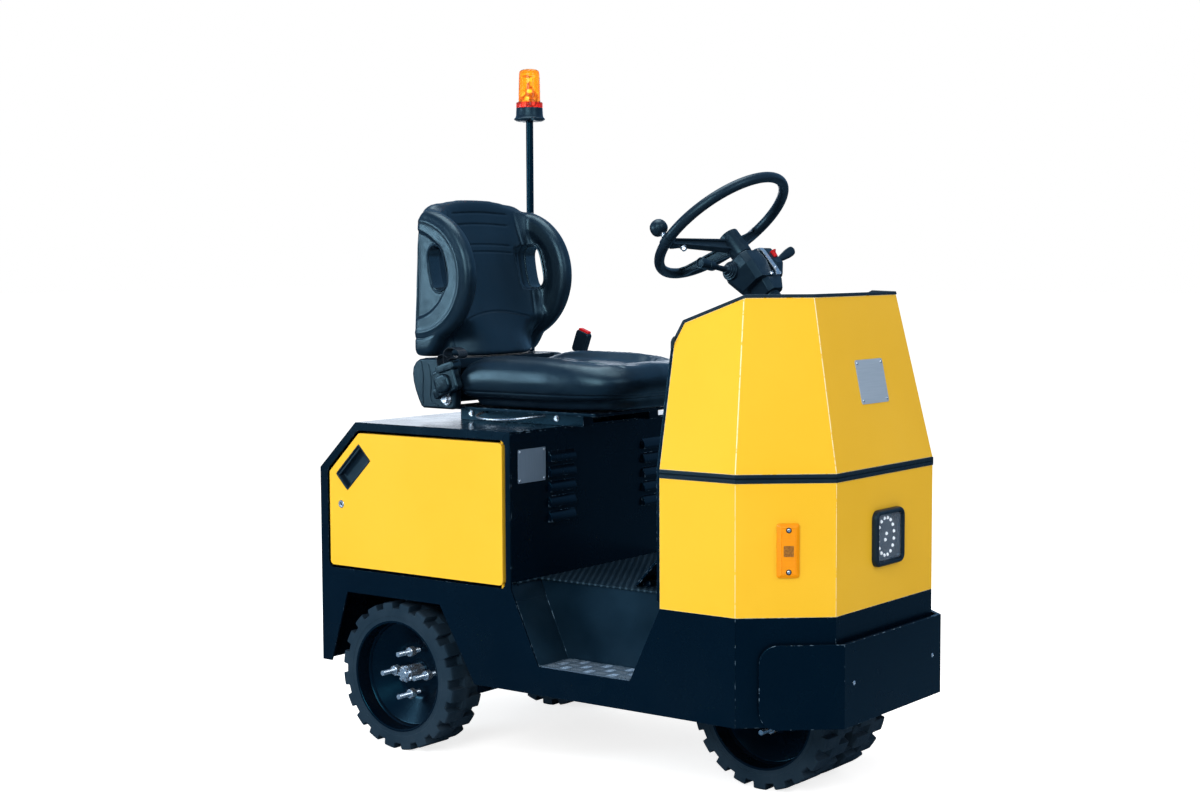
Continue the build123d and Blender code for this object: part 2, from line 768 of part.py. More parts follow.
z_slew = z_turn + turn_sheet + running_gap
with BuildPart() as slew_ring:
    with BuildSketch(Plane.XY.offset(z_slew)):
        with Locations((x_axle_front, 0)):
            Circle(turn_radius + slew_lip)
            Circle(spigot + running_gap, mode=Mode.SUBTRACT)
    extrude(amount=z_cut - z_slew)
slew_ring.part.label = "slew_ring"
export_step(slew_ring.part, "parts/slew_ring.step")

# Steering wheel: rim, dished boss, three flat spokes and a spinner knob
rim_radius = 190
rim_tube = 14
boss_radius = 28
boss_low = -100
boss_high = -30
spoke_angles = (98, 174, 250)
spoke_root = (22, -78, -45)
spoke_tip = (-12, 6)
spoke_half = 9
knob_angle = 252
knob_radius = 23
knob_height = 42
knob_stem = 8
knob_sides = 8
knob_pad = 16
knob_pad_tall = 15
with BuildPart() as steering_wheel:
    with BuildSketch(Plane(origin=steer_origin, x_dir=steer.x_dir, z_dir=-steer.y_dir)):
        with Locations((rim_radius, 0)):
            RegularPolygon(rim_tube, 8)
    revolve(axis=Axis(steer_origin, steer_axis))
    with BuildSketch(steer.offset(boss_low)):
        Circle(boss_radius)
    extrude(amount=boss_high - boss_low)
    for angle in spoke_angles:
        out = steer.x_dir * cos(radians(angle)) + steer.y_dir * sin(radians(angle))
        with BuildSketch(Plane(origin=steer_origin, x_dir=out, z_dir=out.cross(Vector(*steer_axis)))):
            Polygon(
                (spoke_root[0], spoke_root[1]), (spoke_root[0], spoke_root[2]),
                (rim_radius - 6, spoke_tip[1]), (rim_radius - 6, spoke_tip[0]), align=None,
            )
        extrude(amount=spoke_half, both=True)
    knob_foot = steer.from_local_coords(
        Vector(rim_radius * cos(radians(knob_angle)), rim_radius * sin(radians(knob_angle)), 0)
    )
    with BuildSketch(Plane(origin=knob_foot, x_dir=steer.x_dir, z_dir=-steer.y_dir)):
        with Locations((0, knob_height)):
            RegularPolygon(knob_radius, knob_sides, rotation=180 / knob_sides)
        Rectangle(2 * knob_pad, 2 * knob_pad_tall)
        Rectangle(2 * knob_stem, knob_height, align=(Align.CENTER, Align.MIN))
        with Locations((0, 0)):
            Rectangle(beyond, beyond, align=(Align.MAX, Align.CENTER), mode=Mode.SUBTRACT)
    revolve(axis=Axis(knob_foot, steer_axis))
steering_wheel.part.label = "steering_wheel"
export_step(steering_wheel.part, "parts/steering_wheel.step")

with BuildPart() as steering_column:
    with BuildSketch(steer.offset(boss_low - running_gap)):
        Circle(column_radius)
    extrude(amount=column_end - boss_low + running_gap)
steering_column.part.label = "steering_column"
export_step(steering_column.part, "parts/steering_column.step")

switch_top = -108
switch_tall = 78
switch_block = (96, 150)
switch_chamfer = 18
with BuildPart() as column_switches:
    with BuildSketch(steer.offset(switch_top)) as block:
        Rectangle(*switch_block)
        chamfer(block.vertices(), length=switch_chamfer)
        Circle(column_radius, mode=Mode.SUBTRACT)
    extrude(amount=-switch_tall)
    for way, length in ((-1, 120), (1, 105)):
        lever = Plane(
            origin=steer.from_local_coords(Vector(-20, way * 74, switch_top - 25)),
            x_dir=steer.x_dir, z_dir=steer.y_dir * way + Vector(*steer_axis) * 0.25,
        )
        with BuildSketch(lever):
            Circle(7)
        extrude(amount=length)
        with BuildSketch(lever.offset(length - 40)):
            Circle(13)
        extrude(amount=40)
column_switches.part.label = "column_switches"
export_step(column_switches.part, "parts/column_switches.step")

# Pedals hinged at the floor, in front of the driver's feet: place across and width of each
pedals_across = ((-205, 110), (-60, 90))
pedal_run = 173
pedal_rise = 47
pedal_long = 190
pedal_sheet = 6
pedal_foot = (36, 60, 16)
pedal_plane = Plane(
    origin=(x_cowl - pedal_run, 0, z_floor),
    x_dir=(cos(radians(pedal_rise)), 0, sin(radians(pedal_rise))),
    z_dir=(-sin(radians(pedal_rise)), 0, cos(radians(pedal_rise))),
)
with BuildPart() as pedals:
    with BuildSketch(pedal_plane):
        for y_pedal, width in pedals_across:
            with Locations((pedal_long / 2, y_pedal)):
                RectangleRounded(pedal_long, width, 8)
    extrude(amount=pedal_sheet)
    for y_pedal, width in pedals_across:
        with BuildSketch(Plane.XY.offset(z_floor)):
            with Locations((x_cowl - pedal_run + 8, y_pedal)):
                Rectangle(pedal_foot[0], pedal_foot[1])
        extrude(amount=pedal_foot[2])
pedals.part.label = "pedals"
export_step(pedals.part, "parts/pedals.step")

# Seat on two rails
seat_half = 240
seat_reach = 936
x_seat = x_cowl - seat_reach
rail_span = 150
seat_rail = (98, 430, 42)
z_pan = 925
pan_start = 68
pan_length = 530
pan_sheet = 8
pan_inset = 30
with BuildPart() as seat_rails:
    with BuildSketch(Plane.XY.offset(z_deck)):
        for side in (-1, 1):
            with Locations((x_seat + seat_rail[0], side * rail_span)):
                Rectangle(seat_rail[1], seat_rail[2], align=(Align.MIN, Align.CENTER))
    extrude(amount=z_pan - z_deck)
    with BuildSketch(Plane.XY.offset(z_pan)):
        with Locations((x_seat + pan_start, 0)):
            Rectangle(pan_length, 2 * (seat_half - pan_inset), align=(Align.MIN, Align.CENTER))
    extrude(amount=pan_sheet)
seat_rails.part.label = "seat_rails"
export_step(seat_rails.part, "parts/seat_rails.step")

cushion_low = z_pan + pan_sheet + running_gap
cushion_high = 1060
cushion_start = 138
cushion_end = 673
cushion_edge = 25
with BuildPart() as seat_cushion:
    with BuildSketch(Plane.XY.offset(cushion_low)) as base:
        with Locations((x_seat + cushion_start, 0)):
            Rectangle(cushion_end - cushion_start, 2 * seat_half, align=(Align.MIN, Align.CENTER))
        fillet(base.vertices().group_by(Axis.X)[-1], radius=170)
        fillet(base.vertices().group_by(Axis.X)[0], radius=50)
    extrude(amount=cushion_high - cushion_low)
    chamfer(seat_cushion.faces().sort_by(Axis.Z)[-1].edges(), length=cushion_edge)
seat_cushion.part.label = "seat_cushion"
export_step(seat_cushion.part, "parts/seat_cushion.step")

# Backrest: a leaning front panel between two forward wings, each with its grip hole
z_seat_back = 1066
z_crown = 1505
wing_wall = 48
panel_half = seat_half - wing_wall + 3
panel_foot = (-19, 130)
panel_head = (-16, 14)
crown_slope = 30
wing_rear = ((-19, z_seat_back), (-14, 1320), (0, 1455))
wing_foot = ((40, z_seat_back), (78, 1119))
wing_front = (186, 1302)
wing_head = (27, 1475)
wing_hole = (72, 1314, 128, 62)
wing_hole_lean = 12
with BuildPart() as seat_backrest:
    with BuildSketch(Plane.XZ):
        Polygon(
            (x_seat + panel_foot[0], z_seat_back), (x_seat + panel_foot[1], z_seat_back),
            (x_seat + panel_head[1], z_crown - crown_slope), (x_seat + panel_head[1] - 8, z_crown),
            (x_seat + panel_head[0], z_crown), align=None,
        )
    extrude(amount=panel_half, both=True)
    chamfer(seat_backrest.edges().filter_by(Axis.X).group_by(Axis.Z)[-1], length=crown_slope)
    with BuildSketch(Plane.XZ.offset(seat_half)):
        with BuildLine():
            Polyline(*[(x_seat + x, z) for x, z in (wing_head, *wing_rear[::-1], *wing_foot)])
            ThreePointArc(*[(x_seat + x, z) for x, z in (wing_foot[1], wing_front, wing_head)])
        make_face()
        with Locations((x_seat + wing_hole[0], wing_hole[1])):
            SlotOverall(wing_hole[2], wing_hole[3], rotation=90 + wing_hole_lean, mode=Mode.SUBTRACT)
    extrude(amount=-wing_wall)
    mirror(about=Plane.XZ)
seat_backrest.part.label = "seat_backrest"
export_step(seat_backrest.part, "parts/seat_backrest.step")

# Moulded covers at both sides of the seat, below the backrest, joined by a bar under it
z_cover = z_seat_back - running_gap
z_cover_fold = 1040
cover_round = 30
cover_wall = 30
with BuildPart() as seat_covers:
    with BuildSketch(Plane.XZ.offset(seat_half)) as cover:
        with BuildLine():
            Polyline(
                (x_seat + 3, z_cover), (x_seat - 21, z_cover_fold), (x_seat + 21, z_pan),
                (x_seat + cushion_start - 1, z_pan), (x_seat + cushion_start - 1, z_cover), close=True,
            )
        make_face()
        fillet(cover.vertices().group_by(Axis.X)[0], radius=cover_round)
    extrude(amount=-cover_wall)
    mirror(about=Plane.XZ)
    with BuildSketch(Plane.XZ):
        Polygon(
            (x_seat, z_cover), (x_seat, z_pan + pan_sheet), (x_seat + 23, z_pan + pan_sheet),
            (x_seat + panel_foot[1] - 2, z_cover_fold), (x_seat + panel_foot[1] - 2, z_cover), align=None,
        )
    extrude(amount=seat_half - cover_wall + 10, both=True)
seat_covers.part.label = "seat_covers"
export_step(seat_covers.part, "parts/seat_covers.step")

# Belt: reel at the right side, buckle on its stalk at the left
reel = (123, 1010, 80, 95)
reel_wide = 38
buckle_foot = (123, 975, 60, 30)
buckle_stalk = (163, 1020, 20, 140)
buckle = (198, 1095, 46, 70)
buckle_wide = 22
with BuildPart() as seat_belt:
    with BuildSketch(Plane.XZ.offset(seat_half)):
        with Locations(Location((x_seat + reel[0], reel[1], 0), 20)):
            RectangleRounded(reel[2], reel[3], 10)
    extrude(amount=reel_wide)
    with BuildSketch(Plane.XZ.offset(-seat_half)):
        for piece, turn in ((buckle_foot, 0), (buckle_stalk, -30), (buckle, -20)):
            with Locations(Location((x_seat + piece[0], piece[1], 0), turn)):
                Rectangle(piece[2], piece[3])
    extrude(amount=-buckle_wide)
seat_belt.part.label = "seat_belt"
export_step(seat_belt.part, "parts/seat_belt.step")

# Beacon on its pole behind the seat
beacon_at = (x_rear + 170, half_width - 75)
pole_radius = 11
pole_foot = (34, 8)
z_flange = 1738
base_radius = 40
base_tall = 40
flange_radius = 46
flange_tall = 6
lens_foot = (38, 14)
lens_radius = 31
lens_lean = 4
lens_edge = 7
lens_tall = 124
with BuildPart() as beacon_pole:
    for z_low, radius, tall in (
        (z_deck, pole_foot[0], pole_foot[1]),
        (z_deck, pole_radius, z_flange - z_deck),
        (z_flange, base_radius, base_tall),
        (z_flange + flange_tall, flange_radius, flange_tall),
    ):
        with BuildSketch(Plane.XY.offset(z_low)):
            with Locations(beacon_at):
                Circle(radius)
        extrude(amount=tall)
beacon_pole.part.label = "beacon_pole"
export_step(beacon_pole.part, "parts/beacon_pole.step")

z_lens = z_flange + base_tall
with BuildPart() as beacon_lens:
    with BuildSketch(Plane.XZ.offset(-beacon_at[1])):
        with Locations((beacon_at[0], z_lens)):
            Polygon(
                (0, 0), (lens_foot[0], 0), lens_foot, (lens_radius, lens_foot[1]),
                (lens_radius - lens_lean, lens_tall - lens_edge),
                (lens_radius - lens_lean - lens_edge, lens_tall), (0, lens_tall), align=None,
            )
    revolve(axis=Axis((beacon_at[0], beacon_at[1], z_lens), (0, 0, 1)))
beacon_lens.part.label = "beacon_lens"
export_step(beacon_lens.part, "parts/beacon_lens.step")

# Tow hitch: two plates with a drop pin, bolted to the rear wall
z_hitch = 330
hitch_half = 45
hitch_plate = 14
hitch_mouth = 46
hitch_pin = 12
hitch_back = (140, 150, 12)
with BuildPart() as tow_hitch:
    with BuildSketch(Plane.YZ.offset(x_rear)):
        with Locations((0, z_hitch)):
            RectangleRounded(hitch_back[0], hitch_back[1], 8)
    extrude(amount=-hitch_back[2])
    for level in (-1, 1):
        z_plate = z_hitch + level * (hitch_mouth + hitch_plate) / 2 - hitch_plate / 2
        with BuildSketch(Plane.XY.offset(z_plate)):
            with Locations((x_rear - hitch_reach, 0)):
                Rectangle(hitch_reach - hitch_back[2], 2 * hitch_half, align=(Align.MIN, Align.CENTER))
            with Locations((x_rear - hitch_reach + 42, 0)):
                Circle(hitch_pin + 1, mode=Mode.SUBTRACT)
        extrude(amount=hitch_plate)
tow_hitch.part.label = "tow_hitch"
export_step(tow_hitch.part, "parts/tow_hitch.step")
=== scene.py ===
import json
from math import cos, pi, radians, sin

import bmesh
import bpy
import numpy as np
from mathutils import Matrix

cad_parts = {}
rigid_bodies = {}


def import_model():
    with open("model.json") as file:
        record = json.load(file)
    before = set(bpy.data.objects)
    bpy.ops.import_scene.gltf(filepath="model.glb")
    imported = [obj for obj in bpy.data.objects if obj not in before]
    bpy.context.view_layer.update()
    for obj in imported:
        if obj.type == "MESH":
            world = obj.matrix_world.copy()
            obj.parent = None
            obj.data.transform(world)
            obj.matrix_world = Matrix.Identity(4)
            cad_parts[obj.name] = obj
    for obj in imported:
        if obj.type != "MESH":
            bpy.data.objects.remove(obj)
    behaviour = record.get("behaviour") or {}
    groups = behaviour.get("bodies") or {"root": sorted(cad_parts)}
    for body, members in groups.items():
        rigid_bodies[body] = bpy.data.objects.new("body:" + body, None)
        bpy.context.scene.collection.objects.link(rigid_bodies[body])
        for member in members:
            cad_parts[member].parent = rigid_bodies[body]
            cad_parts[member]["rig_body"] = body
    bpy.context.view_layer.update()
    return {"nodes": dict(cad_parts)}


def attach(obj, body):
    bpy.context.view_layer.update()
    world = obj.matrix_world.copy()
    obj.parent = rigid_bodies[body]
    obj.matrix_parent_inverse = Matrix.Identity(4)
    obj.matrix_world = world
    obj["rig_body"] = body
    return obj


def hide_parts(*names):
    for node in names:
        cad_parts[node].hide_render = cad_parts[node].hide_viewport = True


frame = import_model()
nodes = frame["nodes"]

# Hull: side plates, box, deck, wells and skirt of 3 to 5 mm steel sheet, folded, welded and powder coated
# in gloss black. Each panel keeps its solid's flats, its corners are rolled by a bevel, and the coat has
# orange peel, rubbed corners painted lighter, partly as wear and partly as a painted highlight along the
# edges, and a little dust where it faces up or comes near the ground.
back = -0.7435


def feed(node, **inputs):
    """Inputs of a node, by name or i and their number, linked to a socket or set to a value."""
    for key, value in inputs.items():
        socket = node.inputs[int(key[1:]) if key[1:].isdigit() else key.replace("_", " ")]
        if isinstance(value, bpy.types.NodeSocket):
            node.id_data.links.new(value, socket)
        else:
            socket.default_value = value
    return node


def put(tree, kind, options=(), **inputs):
    """One shader node: its options are set, then its inputs are fed."""
    made = tree.nodes.new("ShaderNode" + kind)
    for key, value in dict(options).items():
        setattr(made, key, value)
    return feed(made, **inputs)


def shade(tree, **inputs):
    """Inputs of a material's own shader, linked or set."""
    feed(tree.nodes["Principled BSDF"], **inputs)


def effect(name, **inputs):
    """Empty shader group with number inputs and one number output: its tree, its input sockets, its exit."""
    tree = bpy.data.node_groups.new(name, "ShaderNodeTree")
    for key, value in inputs.items():
        tree.interface.new_socket(key, in_out="INPUT", socket_type="NodeSocketFloat").default_value = value
    tree.interface.new_socket("Value", in_out="OUTPUT", socket_type="NodeSocketFloat")
    return tree, tree.nodes.new("NodeGroupInput").outputs, tree.nodes.new("NodeGroupOutput").inputs[0]


def span(tree, value, low, high, to_low=0.0, to_high=1.0):
    """Smooth step of a value from low..high to to_low..to_high."""
    options = {"interpolation_type": "SMOOTHSTEP"}
    return put(tree, "MapRange", options, Value=value, i1=low, i2=high, i3=to_low, i4=to_high).outputs[0]


def maths(tree, kind, first, second, third=0.0, clamp=False):
    """Two numbers worked out by kind, with the third added where the kind takes one, held to 0..1 by clamp."""
    return put(tree, "Math", {"operation": kind, "use_clamp": clamp}, i0=first, i1=second, i2=third).outputs[0]


def spots(tree):
    """The surface's own coordinates in metres."""
    return put(tree, "TexCoord").outputs["Object"]


def altitude(tree, vector=None):
    """Upward part of a vector, or else height above the ground."""
    return put(tree, "SeparateXYZ", Vector=vector or spots(tree)).outputs[2]


def speckle(tree, scale, detail=3.0, stretch=(1, 1, 1)):
    """Noise over the object's own coordinates, in 1/m."""
    spot = put(tree, "Mapping", Vector=spots(tree), Scale=stretch).outputs[0] if stretch != (1, 1, 1) else spots(tree)
    return put(tree, "TexNoise", Vector=spot, Scale=scale, Detail=detail).outputs[0]


# Rubbed corners and painted edge highlight: 1 on the rolled faces where a fine noise passes a limit. The coats turn
# these lighter, partly as wear and partly as a painted highlight along the edges.
corner_rub_and_highlight, rub_and_highlight_in, rub_and_highlight_out = effect("corner_rub_and_highlight", Scale=90.0, Least=0.5)
rub_and_highlight_edge = put(corner_rub_and_highlight, "Attribute", {"attribute_name": "edge"}).outputs["Fac"]
rub_and_highlight_more = maths(corner_rub_and_highlight, "SUBTRACT", speckle(corner_rub_and_highlight, rub_and_highlight_in["Scale"]), rub_and_highlight_in["Least"])
corner_rub_and_highlight.links.new(maths(corner_rub_and_highlight, "MULTIPLY", span(corner_rub_and_highlight, rub_and_highlight_more, 0.0, 0.12), rub_and_highlight_edge), rub_and_highlight_out)

# Dust: grows with the upward part of the normal and near the ground, broken up by two noises.
dust, dust_in, dust_out = effect("dust", Amount=0.5, Ground=0.3)
dust_up = altitude(dust, put(dust, "NewGeometry").outputs["Normal"])
dust_low = maths(dust, "MULTIPLY", span(dust, altitude(dust), 0.0, 0.45, 1.0, 0.0), dust_in["Ground"])
dust_sum = maths(dust, "MULTIPLY_ADD", span(dust, dust_up, 0.1, 1.0), 0.6, dust_low)
dust_spots = maths(dust, "MULTIPLY", span(dust, speckle(dust, 7.0, 6.0), 0.3, 0.75), dust_sum)
dust.links.new(maths(dust, "MULTIPLY", dust_spots, dust_in["Amount"], clamp=True), dust_out)

# Orange peel: the low, rounded ripple of a sprayed coat, with a trace of finer grit.
orange_peel, peel_in, peel_out = effect("orange_peel", Scale=170.0)
peel_fine = speckle(orange_peel, maths(orange_peel, "MULTIPLY", peel_in["Scale"], 6.0), 2.0)
peel_coarse = speckle(orange_peel, peel_in["Scale"], 1.0)
orange_peel.links.new(maths(orange_peel, "MULTIPLY_ADD", peel_fine, 0.15, peel_coarse), peel_out)


def material(name, slot, rough, specular=0.5, coat=0.0, coat_rough=0.1, metal=0.0, cast=(1, 1, 1)):
    """New material and its tree, with the values that are the same all over; the slot is not used.
    The cast is the colour of what it mirrors when looked at squarely."""
    made = bpy.data.materials.new(name)
    made.use_nodes = True
    shade(
        made.node_tree, Roughness=rough, Specular_IOR_Level=specular, Coat_Weight=coat, Coat_Roughness=coat_rough,
        Metallic=metal, Specular_Tint=(*cast, 1),
    )
    return made, made.node_tree


def place(tree, group, **inputs):
    """One shader group placed in a material with its own values."""
    return put(tree, "Group", {"node_tree": group}, **inputs).outputs[0]


def mix(tree, mask, first, second):
    """Colour that goes from first to second as the mask goes from 0 to 1."""
    first, second = (v if isinstance(v, bpy.types.NodeSocket) else (*v, 1) for v in (first, second))
    return put(tree, "Mix", {"data_type": "RGBA"}, i0=mask, i6=first, i7=second).outputs[2]


def relief(tree, height, depth):
    """Bump of that height, depth in metres, into the shader's normal."""
    shade(tree, Normal=put(tree, "Bump", Height=height, Strength=1.0, Distance=depth).outputs[0])


def sprayed(name, slot, colour, drift, bare_and_highlight, rough, specular, dusty, least, cast=(1, 1, 1)):
    """Sprayed or powder coat: colour drifting, turned to the edge colour at rolled corners where a noise passes least,
    which stands for rubbed wear and a painted highlight along the edges, dusty, with orange peel in it."""
    made, tree = material(name, slot, rough, specular, cast=cast)
    tone = mix(tree, span(tree, speckle(tree, 2.3, 4.0), 0.35, 0.7), colour, drift)
    worn_and_highlit = mix(tree, place(tree, corner_rub_and_highlight, Scale=80.0, Least=least), tone, bare_and_highlight)
    shade(
        tree, Base_Color=mix(tree, place(tree, dust, Amount=dusty), worn_and_highlit, (0.19, 0.2, 0.2)),
        Roughness=span(tree, speckle(tree, 14.0, 5.0), 0.3, 0.8, rough, rough + 0.05),
    )
    relief(tree, place(tree, orange_peel, Scale=170.0), 0.00012)
    return made


# Colour of the black coats' rubbed corners: steel showing through, which also stands as a painted highlight along the
# edges.
bare_steel_and_highlight = (0.1, 0.16, 0.22)
black_coat = sprayed(
    "black_coat", "black_paint", (0.0005, 0.0034, 0.0086), (0.0008, 0.0046, 0.0112), bare_steel_and_highlight, 0.24, 0.26, 0.04,
    0.54, (0.1, 0.62, 1.0),
)
# Step wells' coat: lighter and bluer than the black coat, a painted sheen on the wells' sloped and inner walls.
well_coat_painted_sheen = sprayed(
    "well_coat_painted_sheen", "black_paint", (0.0015, 0.007, 0.015), (0.01, 0.03, 0.054), bare_steel_and_highlight, 0.36, 0.3, 0.08, 0.5,
    (0.3, 0.75, 1.0),
)


def finish_mesh(thing, angle):
    """Smooth shading, kept sharp at edges over that angle in degrees."""
    thing.data.polygons.foreach_set("use_smooth", np.ones(len(thing.data.polygons), bool))
    thing.data.set_sharp_from_angle(angle=radians(angle))


def round_off(shell, width, limit):
    """Edges over limit degrees rounded by width in two steps; the new faces hold 1 in the attribute edge."""
    layer = shell.faces.layers.float.new("edge")
    sharp = [e for e in shell.edges if len(e.link_faces) == 2 and e.calc_face_angle(0) > radians(limit)]
    for face in bmesh.ops.bevel(
        shell, geom=sharp, offset=width, segments=2, profile=0.5, affect="EDGES", clamp_overlap=True
    )["faces"]:
        face[layer] = 1.0


def linked(name, data):
    """New object of that name for a mesh, lamp or camera, placed in the scene."""
    thing = bpy.data.objects.new(name, data)
    bpy.context.scene.collection.objects.link(thing)
    return thing


def dressed(thing, coat, angle, body, stands_for):
    """A thing in its coat, smooth up to that angle, its normals weighted by face area, fixed to its body."""
    thing.data.materials.append(coat)
    finish_mesh(thing, angle)
    thing.modifiers.new("even", "WEIGHTED_NORMAL").keep_sharp = True
    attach(thing, body)
    if stands_for:
        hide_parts(*stands_for)


def folded(node, coat, width=0.0012, limit=25):
    """Copy of a sheet's solid: doubles merged, flats dissolved, edges over limit degrees rolled by width."""
    shell = bmesh.new()
    shell.from_mesh(nodes[node].data)
    bmesh.ops.remove_doubles(shell, verts=shell.verts, dist=1e-5)
    bmesh.ops.dissolve_limit(shell, angle_limit=radians(1), verts=shell.verts, edges=shell.edges)
    round_off(shell, width, limit)
    name = node + "_folded"
    mesh = bpy.data.meshes.new(name)
    shell.to_mesh(mesh)
    shell.free()
    dressed(linked(name, mesh), coat, 60, nodes[node]["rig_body"], [node])


# The step wells in their coat with its painted sheen.
folded("step_wells", well_coat_painted_sheen)
for panel in (
    "side_plates", "rear_plate", "deck", "box_front", "frame_rails", "nose_skirt", "dash_panel",
    "bumper", "seat_rails", "pedals", "tow_hitch", "rear_axle", "drive_motor", "slew_ring", "steer_carrier",
    "battery",
):
    folded(panel, black_coat)

# Cowl and doors: 3 and 4 mm sheet, folded along the facets and sprayed bright yellow over primer.
# The same rolled panels, in a coat painted pale along most of its rolled corners: rubbed primer and a painted highlight
# along the folds.
yellow_coat = sprayed(
    "yellow_coat", "yellow_paint", (0.93, 0.545, 0.028), (0.9, 0.52, 0.021), (1.0, 0.86, 0.5), 0.4, 0.2, 0.02, 0.34
)
for panel in ("lower_cowl", "upper_cowl", "door_right", "door_left"):
    folded(panel, yellow_coat, 0.0014, 12)

# Rubber edge trim, belt strip and the bezel's gasket: extruded black rubber pushed over the sheet's edge.
# A pebbled grain runs all over it, and the belt strip has a channel along its middle.
pebble, pebble_in, pebble_out = effect("pebble", Scale=900.0)
pebble_cells = put(
    pebble, "TexVoronoi", {"feature": "SMOOTH_F1"}, Vector=spots(pebble), Scale=pebble_in["Scale"], Smoothness=0.6
).outputs["Distance"]
pebble_grit = speckle(pebble, pebble_in["Scale"], 4.0)
pebble.links.new(maths(pebble, "MULTIPLY_ADD", pebble_grit, 0.5, pebble_cells), pebble_out)


def moulded(name, slot, colour, drift, rough, specular, grain, depth, dusty):
    """Rubber or plastic from a mould: colour drifting, a pebbled grain of 1/m size, dust on top."""
    made, tree = material(name, slot, rough, specular, cast=(0.4, 0.8, 1.0))
    tone = mix(tree, span(tree, speckle(tree, 12.0, 5.0), 0.3, 0.75), colour, drift)
    shade(
        tree, Base_Color=mix(tree, place(tree, dust, Amount=dusty), tone, (0.085, 0.12, 0.16)),
        Roughness=span(tree, speckle(tree, 60.0, 4.0), 0.3, 0.8, rough - 0.05, rough + 0.1),
    )
    relief(tree, place(tree, pebble, Scale=grain), depth)
    return made


def fed(tree, name):
    """What already feeds an input of the material's shader."""
    return tree.nodes["Principled BSDF"].inputs[name].links[0].from_socket


trim_rubber = moulded(
    "trim_rubber", "black_rubber", (0.006, 0.011, 0.019), (0.01, 0.016, 0.026), 0.45, 0.35, 1400.0, 0.0001, 0.06
)
folded("cowl_trim", trim_rubber, 0.0015)
belt_rubber = moulded(
    "belt_rubber", "black_rubber", (0.005, 0.011, 0.019), (0.009, 0.016, 0.026), 0.4, 0.45, 1400.0, 0.0001, 0.06
)
strip = belt_rubber.node_tree
strip_rise = span(strip, altitude(strip), 0.8135, 0.8155)
channel = maths(strip, "MULTIPLY", strip_rise, span(strip, altitude(strip), 0.8175, 0.8195, 1.0, 0.0))
sunk = put(strip, "Bump", {"invert": True}, Height=channel, Strength=1.0, Distance=0.003, Normal=fed(strip, "Normal"))
# The channel is also painted darker than the strip: painted shade in the groove.
shade(strip, Base_Color=mix(strip, channel, fed(strip, "Base Color"), (0.0005, 0.001, 0.002)), Normal=sunk.outputs[0])
folded("belt_strip", belt_rubber, 0.0015)

# Solid tyres: black rubber pressed on the rims, square notches moulded in both shoulders.
# A lug section and a notch section are blended around the wheel, each shoulder with its own notches.
tyre_rubber = moulded(
    "tyre_rubber", "tyre_rubber", (0.008, 0.019, 0.034), (0.015, 0.029, 0.047), 0.66, 0.3, 700.0, 0.0004, 0.4
)
hands = ((-1, "right"), (1, "left"))
rear_wheel = (0.272, 0.392)
front_wheel = (1.285, 0.147)
wheel_radius = 0.203
tyre_width = 0.127
notches = 20
notch_edge = np.radians([3.2, 3.5, 4.0, 4.3])


def mm(*values):
    """Pairs of millimetres as rows of metres: each value over 1000."""
    return np.array(values).reshape(-1, 2) / 1000


lug_side = mm(
    0, 152.5, 0, 154, 0.8, 155, 0.8, 164, 0, 165, 0, 178, 0, 186, 0.3, 196, 1.5, 200.5, 4.5, 202.5, 9, 203, 20, 203,
    34, 203, 46, 203, 51, 203, 54, 203, 57, 203, 63.5, 203,
)
notch_side = mm(
    0, 152.5, 0, 154, 0.8, 155, 0.8, 164, 0, 165, 0, 178, 0.4, 184, 2, 186, 4, 186.8, 7, 187, 12, 187, 20, 187,
    34, 187, 44, 187, 47, 188, 49.5, 191, 52, 201, 63.5, 203,
)


def skin(points, around=False, along=False):
    """Quads over a grid of points (n, m, 3); a wrapped direction closes on its own start."""
    ids = np.arange(points.shape[0] * points.shape[1]).reshape(points.shape[:2])
    ids = np.concatenate([ids, ids[:1]], 0) if around else ids
    ids = np.concatenate([ids, ids[:, :1]], 1) if along else ids
    quads = np.stack([ids[:-1, :-1], ids[1:, :-1], ids[1:, 1:], ids[:-1, 1:]], -1).reshape(-1, 4)
    return points.reshape(-1, 3), quads


def capped(rings):
    """Grid of closed loops (n, m, 3), each end closed on the middle of its own loop."""
    ends = [np.broadcast_to(rings[i].mean(0), rings[i].shape)[None] for i in (0, -1)]
    return skin(np.concatenate([ends[0], rings, ends[1]]), along=True)


def together(patches):
    """One list of points and quads from several."""
    starts = np.cumsum([0] + [len(points) for points, quads in patches[:-1]])
    return (
        np.concatenate([points for points, quads in patches]),
        np.concatenate([quads + start for (points, quads), start in zip(patches, starts)]),
    )


def loose(name, patches, merge=1e-5, roll=0.0, angle=35):
    """Object from patches of points and quads: doubles merged, faces turned outwards. With a roll, edges over
    the angle are rounded by it."""
    points, quads = together(patches)
    mesh = bpy.data.meshes.new(name)
    mesh.from_pydata(points, [], quads)
    shell = bmesh.new()
    shell.from_mesh(mesh)
    bmesh.ops.remove_doubles(shell, verts=shell.verts, dist=merge)
    bmesh.ops.recalc_face_normals(shell, faces=shell.faces)
    if roll:
        round_off(shell, roll, angle)
    shell.to_mesh(mesh)
    shell.free()
    return linked(name, mesh)


def piece(name, patches, coat, angle=35, stands_for=(), body="chassis", roll=0.0):
    """New piece from patches of points and quads, dressed and fixed to its body."""
    dressed(loose(name, patches, 2e-6, roll, angle), coat, 60 if roll else angle, body, stands_for)


def wheel_points(wheel, side, radius, depth, turn):
    """Points at a radius and a depth in from the outer face, turned about the axle of a wheel (x, face)."""
    x, face = wheel
    return np.stack(np.broadcast_arrays(
        back + x + radius * np.cos(turn), side * (face - depth), wheel_radius + radius * np.sin(turn)
    ), -1)


